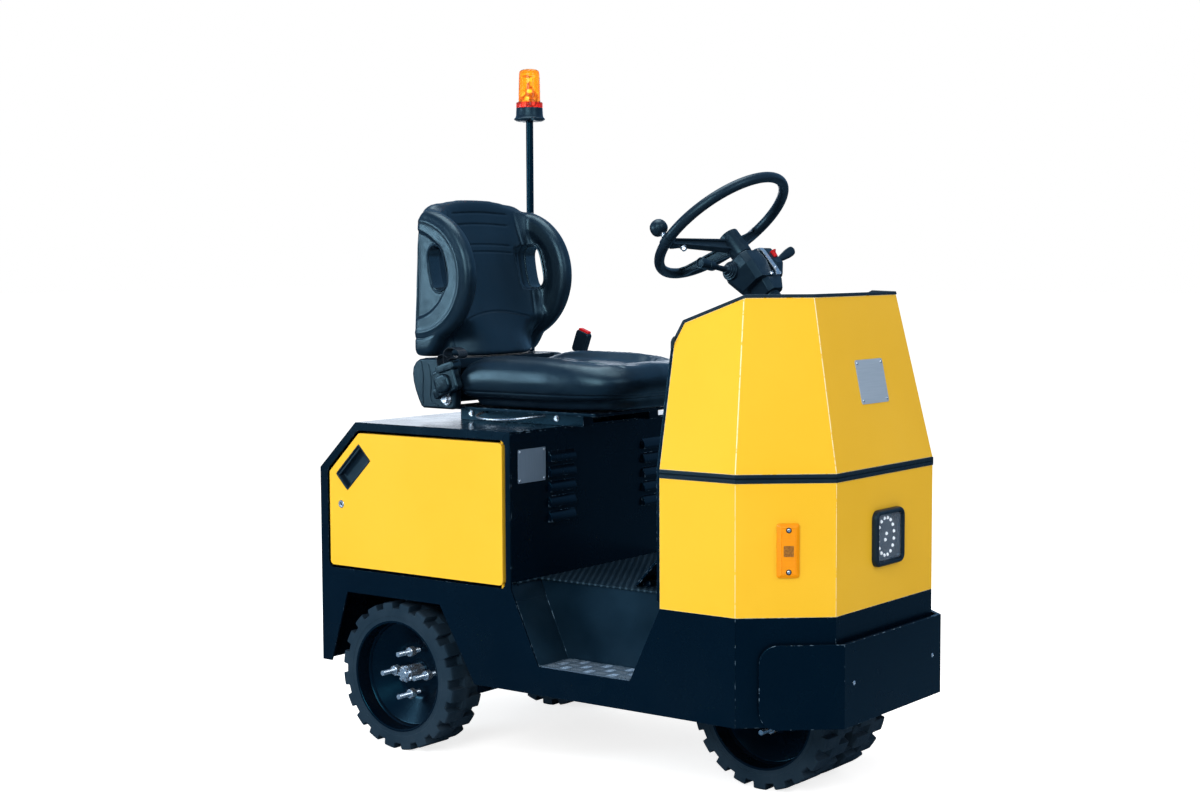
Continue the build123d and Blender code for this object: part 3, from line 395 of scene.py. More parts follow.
def tyre(wheel, side, shift):
    """Closed ring: section = lug + notch mask x (notch - lug), the inner half mirrored with its own mask."""
    pitch = 2 * pi / notches
    notch_turns = np.concatenate([-notch_edge[::-1], [0], notch_edge])
    turns = np.concatenate([notch_turns, notch_turns + pitch / 2])
    turn = (np.sort(turns % pitch)[None] + pitch * np.arange(notches)[:, None]).ravel()
    ring = []
    for start in (0.0, pitch / 2):
        away = np.abs((turn - start + pitch / 2) % pitch - pitch / 2)
        mask = np.interp(away, notch_edge, [1, 0.93, 0.07, 0])[:, None, None]
        ring.append(lug_side + mask * (notch_side - lug_side))
    inner = ring[1][:, ::-1] * (-1, 1) + (tyre_width, 0)
    section = np.concatenate([ring[0], inner[:, 1:]], 1)
    return skin(wheel_points(wheel, side, section[..., 1], section[..., 0], (turn + shift)[:, None]), True, True)


for side, hand in hands:
    piece(f"tyre_{hand}", [tyre(rear_wheel, side, 0.0)], tyre_rubber, 30, [f"tyre_rear_{hand}"], f"wheel_rear_{hand}")
piece(
    "tyres_twin", [tyre(front_wheel, side, pi / notches) for side in (-1, 1)], tyre_rubber, 30, ["tyres_front"],
    "wheels_front",
)

# Rims: rolled steel band with a dished disc welded in, black, on four long zinc-plated studs with nuts,
# and a castellated nut with its split pin on the drive shaft. Turned sections, the weld bead rippled.
rim_band = mm(
    0, 152.4, 0, 148, 1.2, 146.5, 40, 146.3, 44.5, 146.2, 46, 144.6, 48, 143, 50.5, 142.2, 52.5, 140.5, 53, 138.5,
    70, 111, 84, 86, 88, 80, 90.8, 74, 92, 68, 92, 34, 90.5, 33, 90.5, 31, 92, 30, 92, 0,
)
rim_inside = mm(100, 0, 100, 74, 98, 80, 62, 138, 60, 143, 64, 146, 126, 146.4, 127, 148, 127, 152.4)


def plated(name, slot, colour, rough, grain, metal=0.85):
    """Zinc-plated steel or aluminium: metal with a faint cloud in its colour and fine brushed lines."""
    made, tree = material(name, slot, rough, metal=metal)
    cloud = mix(tree, span(tree, speckle(tree, 120.0, 4.0), 0.3, 0.7), colour, tuple(0.78 * c for c in colour))
    shade(
        tree, Base_Color=mix(tree, place(tree, dust, Amount=0.25), cloud, (0.13, 0.14, 0.15)),
        Roughness=span(tree, speckle(tree, 300.0, 3.0), 0.3, 0.8, rough - 0.06, rough + 0.14),
    )
    relief(tree, speckle(tree, grain, 2.0, (1, 0.15, 1)), 0.00003)
    return made


zinc = plated("zinc", "aluminium_tread", (0.68, 0.76, 0.84), 0.24, 1500.0)


def lap(count):
    """Angles evenly spaced over a full turn from 0."""
    return np.linspace(0, 2 * pi, count, endpoint=False)


def turned(section, wheel, side, off=(0, 0), steps=128, shape=None):
    """Section (depth, radius) carried round an axle line; shape changes the radius by angle and depth."""
    turn = lap(steps)[:, None]
    depth, radius = section[None, :, 0], section[None, :, 1]
    radius = shape(turn, depth, radius) if shape else radius + 0 * turn
    return skin(wheel_points(wheel, side, radius, depth + 0 * turn, turn) + (off[0], 0, off[1]), True)


def beaded(turn, depth, radius):
    """Weld bead: the radius ripples by 0.9 mm, 110 times round, within 4 mm of the band's foot."""
    return radius - 0.0009 * np.abs(np.sin(55 * turn)) * np.exp(-(((depth - 0.049) / 0.003) ** 2))


def hexagon(turn):
    """Distance out to a hexagon with flats at 1: one over the cosine of the angle from a flat's middle."""
    return 1 / np.cos(turn % (pi / 3) - pi / 6)


def hexed(turn, depth, radius):
    """Nut: a hexagon 25 mm across its flats, cut by the turned radius at its ends."""
    return np.where(radius > 0.001, np.minimum(0.0125 * hexagon(turn + pi / 6), radius), radius)


def stud(wheel, side, turn):
    """Threaded stud with its nut: thread = radius swung by 0.5 mm each 2 mm of depth."""
    thread = np.stack([np.linspace(0.007, 0.092, 171), 0.0068 - 0.0005 * (np.arange(171) % 4 > 1)], -1)
    rod = np.concatenate([[(0.007, 0), (0.0068, 0.0055)], thread])
    nut = mm(50, 0, 50, 10.5, 51.5, 12.8, 54.5, 15.5, 65.5, 15.5, 68, 13.8, 68, 0)
    off = (0.0585 * cos(turn), 0.0585 * sin(turn))
    return [turned(rod, wheel, side, off, 14), turned(nut, wheel, side, off, 48, hexed)]


def castle(turn, depth, radius):
    """Castellated nut: a hexagon, then a round crown with six slots 7 mm wide in its last 12 mm."""
    slot = np.abs((turn % (pi / 3)) - pi / 6) < 0.19
    crown = np.where(slot, np.minimum(radius, 0.0125), np.minimum(radius, 0.0195))
    return np.where(depth < 0.0375, crown, np.minimum(0.0205 * hexagon(turn + pi / 6), radius))


castle_side = mm(
    24.5, 0, 24.5, 11, 26, 12.5, 26, 18.5, 27.5, 19.5, 37.4, 19.5, 38, 23.5, 76, 23.5, 78, 21.5, 92, 21.5, 92, 0,
)


def split_pin(wheel, side):
    """Split pin: two legs of 1.6 mm wire through the crown, bent round its sides."""
    along = np.linspace(-1, 1, 41)[:, None]
    path = np.stack(np.broadcast_arrays(
        back + wheel[0] + 0.027 * along, side * (wheel[1] - 0.031 + 0.008 * np.abs(along) ** 6),
        wheel_radius + 0.004 * along,
    ), -1)
    turn = lap(10)
    return skin(path + np.stack([0.2 * np.cos(turn), np.cos(turn), np.sin(turn)], -1)[None] * 0.0016, along=True)


def studs(wheel, side):
    """The four studs of one wheel, a quarter turn apart."""
    return [patch for i in range(4) for patch in stud(wheel, side, i * pi / 2)]


for side, hand in hands:
    rim = [turned(rim_band, rear_wheel, side, shape=beaded), turned(rim_inside, rear_wheel, side)]
    piece(f"rim_{hand}", rim, black_coat, 32, [f"rim_rear_{hand}"], f"wheel_rear_{hand}")
    castle_nut = turned(castle_side, rear_wheel, side, steps=144, shape=castle)
    hardware = studs(rear_wheel, side) + [castle_nut, split_pin(rear_wheel, side)]
    piece(f"hub_nuts_{hand}", hardware, zinc, 32, body=f"wheel_rear_{hand}")
twin_shaft = mm(100, 0, 100, 25, 147, 25, 147, 0)
twin_sections = ((rim_band, beaded), (rim_inside, None), (twin_shaft, None))
twin_rims = [turned(section, front_wheel, side, shape=shape) for side in (-1, 1) for section, shape in twin_sections]
piece("rims_twin", twin_rims, black_coat, 32, ["rims_front"], "wheels_front")
piece("hub_nuts_twin", studs(front_wheel, -1) + studs(front_wheel, 1), zinc, 32, body="wheels_front")

# Seat backrest: moulded foam under a black vinyl skin, a leaning panel between two forward wings.
# Panel and wings are rolled slabs that one voxel skin joins and smooths; channels and rolls come after.
vinyl, hide = material("seat_vinyl", "seat_vinyl", 0.34, 0.62, cast=(0.45, 0.82, 1.0))
hide_drift = span(hide, speckle(hide, 9.0, 5.0), 0.3, 0.75)
hide_tone = mix(hide, hide_drift, (0.003, 0.0082, 0.0165), (0.0048, 0.0115, 0.0215))
shade(
    hide, Base_Color=mix(hide, place(hide, dust, Amount=0.07, Ground=0.0), hide_tone, (0.14, 0.16, 0.18)),
    Roughness=span(hide, speckle(hide, 40.0, 5.0), 0.3, 0.8, 0.28, 0.42),
)
relief(hide, place(hide, pebble, Scale=750.0), 0.00016)
wing_centre = np.array((0.2205, 1.2893))
wing_round = 0.188
arc = np.radians(np.linspace(-65, 81, 60))
wing_outline = np.concatenate([
    mm(205, 1068, 235, 1068, 262, 1068, 276, 1080, 289, 1099),
    wing_centre + wing_round * np.stack([np.cos(arc), np.sin(arc)], -1),
    mm(236, 1472, 224, 1460, 219, 1440, 213, 1380, 210, 1320, 207, 1220, 205, 1140),
])


def placed(loops, y):
    """Points of side-view loops (x from the rear wall, z) at their y."""
    return np.stack([back + loops[..., 0], y + 0 * loops[..., 0], loops[..., 1]], -1)


def slab(outline, centre, low, high, roll, side=1, steps=7):
    """Slab from y = low to high: its side-view outline, drawn in towards the centre by a quarter circle of
    that roll at both faces, then closed on the centre."""
    quarter = np.linspace(0, pi / 2, steps)
    inward = roll * (1 - np.cos(quarter))
    rise = roll * np.sin(quarter)
    inset = np.concatenate([inward[::-1], inward])[:, None, None]
    y = np.concatenate([low + roll - rise[::-1], high - roll + rise])
    arm = outline - centre
    reach = np.linalg.norm(arm, axis=1)[None, :, None]
    ring = centre + arm[None] * (1 - inset / reach)
    mid = np.broadcast_to(centre, ring[:1].shape)
    plan = np.concatenate([mid, ring, mid])
    return skin(placed(plan, side * np.concatenate([y[:1], y, y[-1:]])[:, None]), along=True)


def back_panel(rows=49):
    """Closed side-view loops along y: upright rear, half-round crest that falls to the sides by the power
    2.6 of y, leaning front that comes forward by the power 4 of y into the wings."""
    y = np.linspace(-0.205, 0.205, rows)[:, None]
    crest = 1.506 - 0.05 * np.abs(y / 0.238) ** 2.6 + 0.007 * np.exp(-(((np.abs(y) - 0.178) / 0.03) ** 2))
    up = np.linspace(0, 1, 40)[None]
    half = np.linspace(pi, 0, 12)[None]
    foot, crest_round = 1.068, 0.017
    z_rear = foot + (crest - crest_round - foot) * up
    x_rear = 0.203 + 0.004 * up + 0.006 * np.abs(y / 0.2) ** 3
    x_top = 0.224 + 0.003 * np.abs(y / 0.2) ** 3 + 0.0185 * np.cos(half)
    z_top = crest - crest_round + crest_round * np.sin(half)
    z_front = z_rear[:, ::-1]
    x_front = np.interp(
        z_front, [1.06, 1.12, 1.2, 1.32, 1.42, 1.47, 1.51], [0.352, 0.336, 0.308, 0.276, 0.251, 0.243, 0.243]
    )
    x_front = x_front + 0.034 * np.abs(y / 0.2) ** 4 * np.clip((z_front - 1.12) / 0.05, 0, 1)
    x_front = x_front - 0.075 * np.abs(y / 0.2) ** 2.6 * np.clip((1.175 - z_front) / 0.06, 0, 1)
    x = np.concatenate([x_rear, x_top, x_front], 1)
    z = np.concatenate([z_rear, z_top, z_front], 1)
    return capped(np.stack([back + x, y + 0 * x, z], -1))


def slot_ring(grow):
    """Slot 128 x 62 mm in the wing, leaning back 12 degrees, grown all round: its (x, z) loop."""
    t = lap(56)
    long = 0.033 * np.tanh(3 * np.sin(t)) + (0.031 + grow) * np.sin(t)
    wide = (0.031 + grow) * np.cos(t) * (1 - 0.12 * np.sin(t))
    lean = radians(12)
    return np.stack([0.294 + wide * cos(lean) - long * sin(lean), 1.314 + long * cos(lean) + wide * sin(lean)], -1)


def slot_tube(side, rows):
    """The slot's loop carried through a wing by rows of (y, growth)."""
    return placed(np.stack([slot_ring(grow) for y, grow in rows]), side * rows[:, :1])


def apply_all(thing):
    """Modifiers of a thing worked out into its own mesh."""
    made = bpy.data.meshes.new_from_object(thing.evaluated_get(bpy.context.evaluated_depsgraph_get()))
    thing.modifiers.clear()
    thing.data = made


def even_skin(thing, rounds):
    """One skin of 5.2 mm voxels over all of a thing's slabs, then smoothed for some rounds."""
    even = thing.modifiers.new("even", "REMESH")
    even.mode = "VOXEL"
    even.voxel_size = 0.0052
    thing.modifiers.new("soft", "SMOOTH").iterations = rounds


def foam(thing, rounds, cutters=()):
    """Foam body: one even skin, smoothed, holes cut, smoothed again and divided."""
    even_skin(thing, rounds)
    apply_all(thing)
    for cutter in cutters:
        thing.modifiers.new("cut", "BOOLEAN").object = cutter
    even_skin(thing, 3)
    fine = thing.modifiers.new("fine", "SUBSURF")
    fine.levels = fine.render_levels = 1
    apply_all(thing)
    for cutter in cutters:
        bpy.data.objects.remove(cutter)


def sewn(thing, move):
    """Vertices moved along their normals by what move gives for their places and normals, in metres."""
    mesh = thing.data
    points, normal = (np.empty(len(mesh.vertices) * 3) for i in range(2))
    mesh.vertices.foreach_get("co", points)
    mesh.vertex_normals.foreach_get("vector", normal)
    points, normal = points.reshape(-1, 3), normal.reshape(-1, 3)
    mesh.vertices.foreach_set("co", (points + normal * move(points, normal)[:, None]).ravel())
    mesh.update()


def groove(distance, width):
    """Depth 0..1 of a seam: a bell over the distance from its line."""
    return np.exp(-((distance / width) ** 2))


def ease(value, low, high):
    """Smooth step of an array from low to high."""
    t = np.clip((value - low) / (high - low), 0, 1)
    return t * t * (3 - 2 * t)


def soft_piece(thing, node):
    """A padded piece dressed in vinyl and fixed to the chassis, the CAD node it stands for hidden."""
    thing.data.materials.clear()
    thing.data.materials.append(vinyl)
    finish_mesh(thing, 80)
    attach(thing, "chassis")
    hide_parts(node)


def back_form(p, n):
    """Front: channels at four heights, a curved seam low down, upright seams beside the panel. Wings: the
    inner face sinks inside a 45 mm roll round the slot, the outer face has a lens-shaped pocket."""
    x, y, z = p[:, 0] - back, p[:, 1], p[:, 2]
    across = np.abs(y)
    facing = np.clip(n[:, 0] * 1.4, 0, 1)
    inside = 1 - ease(across, 0.108, 0.128)
    depth = sum(groove(z - height - 0.006 * np.cos(y * 11), 0.0024) for height in (1.462, 1.43, 1.372, 1.352)) * inside
    depth = depth + groove(z - 1.19 + 1.1 * y ** 2, 0.0026) * (1 - ease(across, 0.12, 0.14))
    panel_edge = 0.132 + 0.03 * np.cos((z - 1.3) * 7)
    depth = depth + 0.7 * groove(across - panel_edge, 0.004) * ease(z, 1.13, 1.2) * (1 - ease(z, 1.44, 1.48))
    split = groove(z - 1.118 - 0.25 * np.clip(x - 0.24, 0, 1), 0.0026)
    split = split * np.clip(-n[:, 0] + 1 - ease(x, 0.25, 0.3), 0, 1)
    away = np.hypot(x - wing_centre[0], z - wing_centre[1])
    inner = np.clip(-n[:, 1] * np.sign(y), 0, 1) * ease(across, 0.15, 0.18)
    sunk = (1 - ease(away, 0.118, 0.148)) * inner
    outer = np.clip(n[:, 1] * np.sign(y), 0, 1) * ease(across, 0.2, 0.225)
    lens = np.hypot((x - 0.19) * 0.9, z - 1.295)
    pocket = (1 - ease(lens, 0.118, 0.13)) * ease(x, 0.212, 0.222) * outer
    ridge = groove(away - 0.155, 0.006) * outer
    crease = groove(across - 0.176 - 0.12 * (z - 1.15), 0.005) * facing
    crease = crease * ease(z, 1.08, 1.1) * (1 - ease(z, 1.17, 1.2))
    return (
        -0.0024 * facing * np.minimum(depth, 1) - 0.0022 * split - 0.009 * sunk - 0.0075 * pocket
        + 0.0022 * ridge + 0.003 * crease
    )


wings = [slab(wing_outline, (0.262, 1.28), 0.185, 0.238, 0.023, side) for side in (-1, 1)]
seat_back = loose("seat_back", [back_panel()] + wings)
foam(seat_back, 9, [loose(f"slot_{side}", [capped(slot_tube(side, mm(130, 0, 300, 0)))]) for side in (-1, 1)])
sewn(seat_back, back_form)
soft_piece(seat_back, "seat_backrest")

# Slot liners: glossy black plastic inserts pressed through both wings, with a thin lip on each face.
# The slot's loop runs through rows that grow it for the lips and shrink it for the tube.
liner_plastic = moulded(
    "liner_plastic", "black_plastic", (0.008, 0.017, 0.028), (0.014, 0.027, 0.042), 0.2, 0.8, 500.0, 0.00005, 0.05
)
liner_rows = mm(
    189.5, -1.2, 189.5, 1.5, 188, 2.2, 186.8, 1.2, 186.2, -0.6, 187, -2.2, 190, -3, 212, -3.2, 232, -3, 234.5, -2.2,
    236, -0.6, 235.5, 1.2, 233.5, 1.2, 232.5, -1.2,
)
for side, hand in hands:
    piece(f"slot_liner_{hand}", [skin(slot_tube(side, liner_rows), True, True)], liner_plastic, 40)

# Seat cushion: one moulded foam block under the same vinyl, crowned, with raised bolsters at its sides,
# a rounded nose and pleats across the front.
def round_sign(value, power):
    """Signed power, which squares off a sine into the side of a superellipse."""
    return np.sign(value) * np.abs(value) ** power


def cushion(turns=170, levels=48):
    """Loops from the base up over the edge to the middle: a rounded plan outline scaled by the side's swell."""
    t = lap(turns)
    rear = np.cos(t) < 0
    long = round_sign(np.cos(t), np.where(rear, 0.14, 0.5))
    wide = round_sign(np.sin(t), np.where(rear, 0.2, 0.36))
    plan = np.stack([0.6205 + 0.2725 * long, 0.2395 * wide], -1)
    plan[:, 0] -= 0.045 * np.abs(plan[:, 1] / 0.239) ** 3 * (plan[:, 0] > 0.7)
    rise = np.array([
        (0, 0.2), (0, 0.84), (0.024, 0.85), (0.026, 0.905), (0.034, 0.95), (0.052, 0.985), (0.076, 1.0),
        (0.1, 0.988), (0.119, 0.955), (0.132, 0.905), (0.139, 0.82), (0.141, 0.72), (0.14, 0.55), (0.137, 0.3),
        (0.136, 0.0),
    ])
    step = np.linspace(0, len(rise) - 1, levels)
    height = np.interp(step, np.arange(len(rise)), rise[:, 0])
    scale = np.interp(step, np.arange(len(rise)), rise[:, 1])
    middle, foot = 0.62, 0.935
    ring = (middle, 0) + (plan - (middle, 0))[None] * scale[:, None, None]
    nose = 0.03 * np.clip((ring[..., 0] - 0.6) / 0.29, 0, 1) ** 1.6 * (0.45 + 0.55 * np.abs(ring[..., 1] / 0.24))
    tuck = 0.014 * np.clip((ring[..., 0] - 0.62) / 0.26, 0, 1) ** 2
    drop = 0.022 * np.clip((0.5 - ring[..., 0]) / 0.14, 0, 1) ** 2
    tall = np.clip(height[:, None] / 0.12, 0, 1) ** 1.5
    z = foot + height[:, None] - (nose + drop) * tall + tuck * (height[:, None] > 0.02) * (1 - tall)
    base = np.stack([0 * t + middle + back, 0 * t, 0 * t + foot], -1)[None]
    rows = np.stack([ring[..., 0] + back, ring[..., 1], z], -1)
    return skin(np.concatenate([base, rows]), along=True)


def cushion_form(p, n):
    """Bolsters: the top dips by 20 mm between them. Seams run along them and round the side near its foot;
    pleats fan from the bolster seams across the front, and the cover puckers at the seams."""
    x, y, z = p[:, 0] - back, p[:, 1], p[:, 2]
    up = np.clip(n[:, 2], 0, 1)
    across = np.abs(y)
    bolster = 0.158 - 0.045 * ease(x, 0.72, 0.86)
    hollow = (1 - ease(across, bolster - 0.045, bolster + 0.012)) * (1 - ease(x, 0.74, 0.87)) * ease(x, 0.36, 0.44)
    seams = groove(across - bolster - 0.012, 0.0035) * (x < 0.85) * (x > 0.4)
    front_seam = groove(x - 0.80 + 1.6 * y ** 2, 0.0035) * (across < 0.13)
    fan = np.sin((x - 0.7) * 95 + across * 55) * ease(x, 0.66, 0.74) * (1 - ease(x, 0.82, 0.87))
    fan = fan * ease(across, 0.03, 0.1) * (1 - ease(across, 0.15, 0.19))
    pucker = 0.5 * np.sin(x * 260 + 3 * np.sin(x * 41)) * groove(across - bolster - 0.014, 0.014)
    side = (1 - up) * groove(z - 0.978, 0.0024) * (z < 1.01)
    return (
        -0.02 * hollow * up - 0.0028 * up * np.minimum(seams + front_seam, 1) + 0.0024 * up * fan
        + 0.0009 * pucker * up - 0.0022 * side
    )


seat_base = loose("seat_base", [cushion()])
foam(seat_base, 8)
sewn(seat_base, cushion_form)
soft_piece(seat_base, "seat_cushion")

# Cowl trim corners: short pieces of the same rubber over the corner where the cowl's rear edge turns forward.
# One rolled slab for each side.
corner_outline = mm(1149.5, 1118, 1149.5, 1134.5, 1153.5, 1143, 1158.5, 1148, 1163, 1146, 1160, 1136, 1158.5, 1118)
corners = [slab(corner_outline, (1.156, 1.132), 0.329, 0.3405, 0.0015, side, 4) for side in (-1, 1)]
piece("trim_corners", corners, trim_rubber, 40)

# Side covers: moulded black plastic shells over the recliner, joined by a bar, each with two raised
# beads down its face and a bright hinge bolt low down.
hard_plastic = moulded(
    "hard_plastic", "black_plastic", (0.004, 0.0098, 0.018), (0.0065, 0.0135, 0.0235), 0.35, 0.45, 1100.0, 0.0001, 0.05
)
cover_outline = mm(
    359, 1000, 359, 1050, 356, 1063, 345, 1065.5, 300, 1065.5, 250, 1065, 228, 1062, 214, 1054, 204, 1040, 201, 1022,
    203.5, 1000, 211, 975, 222, 950, 232, 932, 240, 926.5, 260, 926.2, 300, 926, 345, 926, 356, 930, 359, 940,
    359, 970,
)
cover_beads = (
    mm(236, 1056, 247, 1020, 240, 980, 243, 936),
    mm(350, 1040, 351, 1010, 347, 975, 336, 936),
    mm(262, 1050, 270, 1030, 274, 990, 266, 940, 300, 936),
)


def unit(vectors):
    """Vectors over their own lengths."""
    return vectors / np.linalg.norm(vectors, axis=-1, keepdims=True)


def bead(path, radius, sides=10):
    """Round bar along a path of points: a circle in the plane across each stretch, shrunk to a point at the ends."""
    along = unit(np.gradient(path, axis=0))
    first = unit(np.cross(along, np.where(np.abs(along[:, 1:2]) > 0.9, (1.0, 0, 0), (0, 1.0, 0))))
    turn = lap(sides)[None, :, None]
    arm = np.cos(turn) * first[:, None] + np.sin(turn) * np.cross(along, first)[:, None]
    return capped(path[:, None] + radius * arm)


def smooth_path(corners, steps=24):
    """Points along a quadratic curve through each corner's neighbours' midpoints, from first to last corner."""
    corners = np.asarray(corners, float)
    mids = np.concatenate([corners[:1], (corners[1:-2] + corners[2:-1]) / 2, corners[-1:]])
    t = np.linspace(0, 1, steps)[:, None]
    legs = [
        (1 - t) ** 2 * mids[i] + 2 * t * (1 - t) * corners[i + 1] + t ** 2 * mids[i + 1]
        for i in range(len(corners) - 2)
    ]
    return np.concatenate([legs[0]] + [leg[1:] for leg in legs[1:]])


for side, hand in hands:
    cover = [slab(cover_outline, (0.285, 0.995), 0.209, 0.2395, 0.008, side)]
    for run in cover_beads:
        cover.append(bead(smooth_path([(back + x, side * 0.2393, z) for x, z in run]), 0.0019))
    piece(f"seat_cover_{hand}", cover, hard_plastic, 40, ["seat_covers"] if side < 0 else ())
bar_outline = mm(224, 1064, 224, 936, 245, 934.5, 349.5, 1040, 349.5, 1064)
piece("seat_cover_bar", [slab(bar_outline, (0.26, 1.01), -0.212, 0.212, 0.003)], hard_plastic)

# Belt: glossy black reel bolted to the right cover with the black webbing coming out of its top and
# folding forward, and a buckle with a red button on its stalk at the left.
glossy_plastic = moulded(
    "glossy_plastic", "black_plastic", (0.0035, 0.008, 0.014), (0.006, 0.011, 0.018), 0.2, 0.5, 300.0, 0.00005, 0.05
)


def waves(tree, along, scale):
    """Bands of a sine along one of the object's own directions."""
    return put(tree, "TexWave", {"bands_direction": along}, Vector=spots(tree), Scale=scale).outputs["Fac"]


def patterned(name, slot, rough, specular, pattern, first, second, depth=0.0, **more):
    """Material whose colour goes from first to second by a pattern (kind, settings), which lifts it by depth."""
    made, tree = material(name, slot, rough, specular, **more)
    height = pattern[0](tree, *pattern[1:])
    shade(tree, Base_Color=mix(tree, height, first, second))
    if depth:
        relief(tree, height, depth)
    return made


webbing = patterned(
    "webbing", "black_plastic", 0.45, 0.4, (waves, "DIAGONAL", 330.0), (0.004, 0.009, 0.016),
    (0.014, 0.024, 0.036), 0.0003,
)


def block_outline(centre, width, height, turn, corner, steps=6):
    """Rounded rectangle in side view, turned by an angle in degrees."""
    quarter = np.linspace(0, pi / 2, steps)
    loop = []
    for i, (sx, sz) in enumerate(((1, 1), (-1, 1), (-1, -1), (1, -1))):
        middle = np.array((sx * (width / 2 - corner), sz * (height / 2 - corner)))
        loop.append(middle + corner * np.stack([np.cos(quarter + i * pi / 2), np.sin(quarter + i * pi / 2)], -1))
    loop = np.concatenate(loop)
    c, s = cos(radians(turn)), sin(radians(turn))
    return np.array(centre) + loop @ np.array(((c, s), (-s, c)))


def upright_slab(centre, width, height, turn, corner, low, high, roll, side=1):
    """Rounded block between two y values, from its side-view rectangle."""
    return slab(block_outline(centre, width, height, turn, corner), centre, low, high, roll, side)


reel = [
    upright_slab(middle, *size, turn, corner, low, high, roll, -1)
    for middle, size, turn, corner, low, high, roll in (
        ((0.345, 1.006), (0.08, 0.074), 20, 0.012, 0.2398, 0.268, 0.007),
        ((0.343, 0.999), (0.05, 0.05), 20, 0.018, 0.26, 0.2775, 0.006),
        ((0.353, 1.044), (0.066, 0.02), 16, 0.006, 0.2398, 0.2765, 0.004),
        ((0.316, 0.972), (0.036, 0.03), 20, 0.009, 0.2398, 0.262, 0.005),
    )
]
piece("belt_reel", reel, glossy_plastic, 35, ["seat_belt"])


def strap(corners, low, high):
    """Webbing 2.2 mm thick: a side-view path as wide as low..high on the right, its edges folded in."""
    path = smooth_path([(x, 0, z) for x, z in corners], 16)[:, (0, 2)]
    across = unit(np.gradient(path, axis=0))[:, ::-1] * (-1, 1)
    y = np.array([low, low, low + 0.001, high - 0.001, high, high, high - 0.001, low + 0.001])
    off = np.array([0.3, -0.3, -0.5, -0.5, -0.3, 0.3, 0.5, 0.5]) * 0.0022
    return capped(placed(path[:, None] + off[None, :, None] * across[:, None], -y))


long_strap = mm(352, 1046, 349, 1070, 352, 1090, 370, 1099, 400, 1094, 410, 1078, 398, 1069, 375, 1072, 366, 1064)
short_strap = mm(330, 1042, 322, 1060, 330, 1076, 350, 1080, 362, 1070)
straps = [strap(long_strap, 0.2405, 0.2755), strap(short_strap, 0.2425, 0.2735)]
piece("belt_webbing", straps, webbing, 45)
buckle = [
    upright_slab((0.345, 0.975), 0.06, 0.03, 0, 0.008, 0.2402, 0.2615, 0.004),
    upright_slab((0.385, 1.02), 0.02, 0.13, -30, 0.006, 0.2425, 0.259, 0.003),
    upright_slab((0.42, 1.095), 0.046, 0.066, -20, 0.009, 0.2402, 0.2618, 0.005),
]
piece("belt_buckle", buckle, hard_plastic)
red_button = moulded(
    "red_button", "red_lens", (0.62, 0.008, 0.008), (0.7, 0.014, 0.012), 0.35, 0.3, 400.0, 0.00004, 0.02
)
button_block = upright_slab((0.4315, 1.1265), 0.036, 0.009, -20, 0.003, 0.2425, 0.2595, 0.0025)
piece("buckle_button", [button_block], red_button)
forward, leftward, skyward = np.eye(3)


def spun(section, foot, out, steps=48, cut=None, helper=leftward):
    """Half section (distance along a line, radius) carried round that line from its foot; cut changes the
    radius by angle, distance and radius."""
    out = unit(np.asarray(out, float))
    first = unit(np.cross(helper if abs(out @ helper) < 0.8 else forward, out))
    turn = lap(steps)[:, None]
    along, radius = np.asarray(section, float).T[:, None] + 0 * turn
    radius = cut(turn, along, radius) if cut else radius
    arm = np.cos(turn)[..., None] * first + np.sin(turn)[..., None] * np.cross(out, first)
    return skin(np.asarray(foot, float) + along[..., None] * out + radius[..., None] * arm, True)


def bolt(spot, out, reach, across, washer):
    """Hexagon bolt on its washer, dished on top: the head's rows are cut to across x the hexagon's distance."""
    rows = np.array([
        (0, 0), (0, washer), (0.12 * reach, washer), (0.2 * reach, washer * 0.97), (0.2 * reach, across * 1.15),
        (0.85 * reach, across * 1.15), (reach, across * 0.96), (reach, across * 0.5), (0.9 * reach, 0),
    ])
    head = (rows[:, 1] > across * 0.6) & (rows[:, 0] > 0.15 * reach) & (rows[:, 1] < washer * 0.96)

    def flats(turn, along, radius):
        """The smaller of radius and hexagon in the head's rows."""
        return np.where(head, np.minimum(radius, across * hexagon(turn)), radius)

    return spun(rows, spot, out, 36, flats, skyward)


seat_bolts = [bolt((back + 0.33, side * 0.2398, 0.954), (0, side, 0), 0.012, 0.0105, 0.016) for side in (-1, 1)]
piece("seat_bolts", seat_bolts, zinc, 32)

# Steering wheel: steel core in a smooth moulded rim, three I-section spokes cast with a dished barrel boss,
# tipped back by 40 degrees; a spinner knob turns on a bright stem clamped over the right spoke.
tip = radians(40)
wheel_centre = np.array((back + 1.074, 0.0, 1.42))
wheel_up = np.array((-sin(tip), 0, cos(tip)))
wheel_fore = np.array((cos(tip), 0, sin(tip)))
rim_reach = 0.19
round_loop = np.stack([np.cos(lap(24)), np.sin(lap(24))], -1)
flange_loop = np.array([
    (-1, 0.93), (-0.9, 1), (0.9, 1), (1, 0.93), (1, 0.64), (0.42, 0.52), (0.42, -0.52), (1, -0.66),
    (1, -0.93), (0.9, -1), (-0.9, -1), (-1, -0.93), (-1, -0.66), (-0.42, -0.52), (-0.42, 0.52), (-1, 0.64),
])


def on_wheel(fore, left, up):
    """Points from their distances forward, left and along the column, measured from the wheel's centre."""
    fore, left, up = (np.asarray(v, float)[..., None] for v in (fore, left, up))
    return wheel_centre + fore * wheel_fore + left * leftward + up * wheel_up


def heading(fore, left, up):
    """Unit direction from its parts forward, left and along the column."""
    return unit(on_wheel(fore, left, up) - wheel_centre)


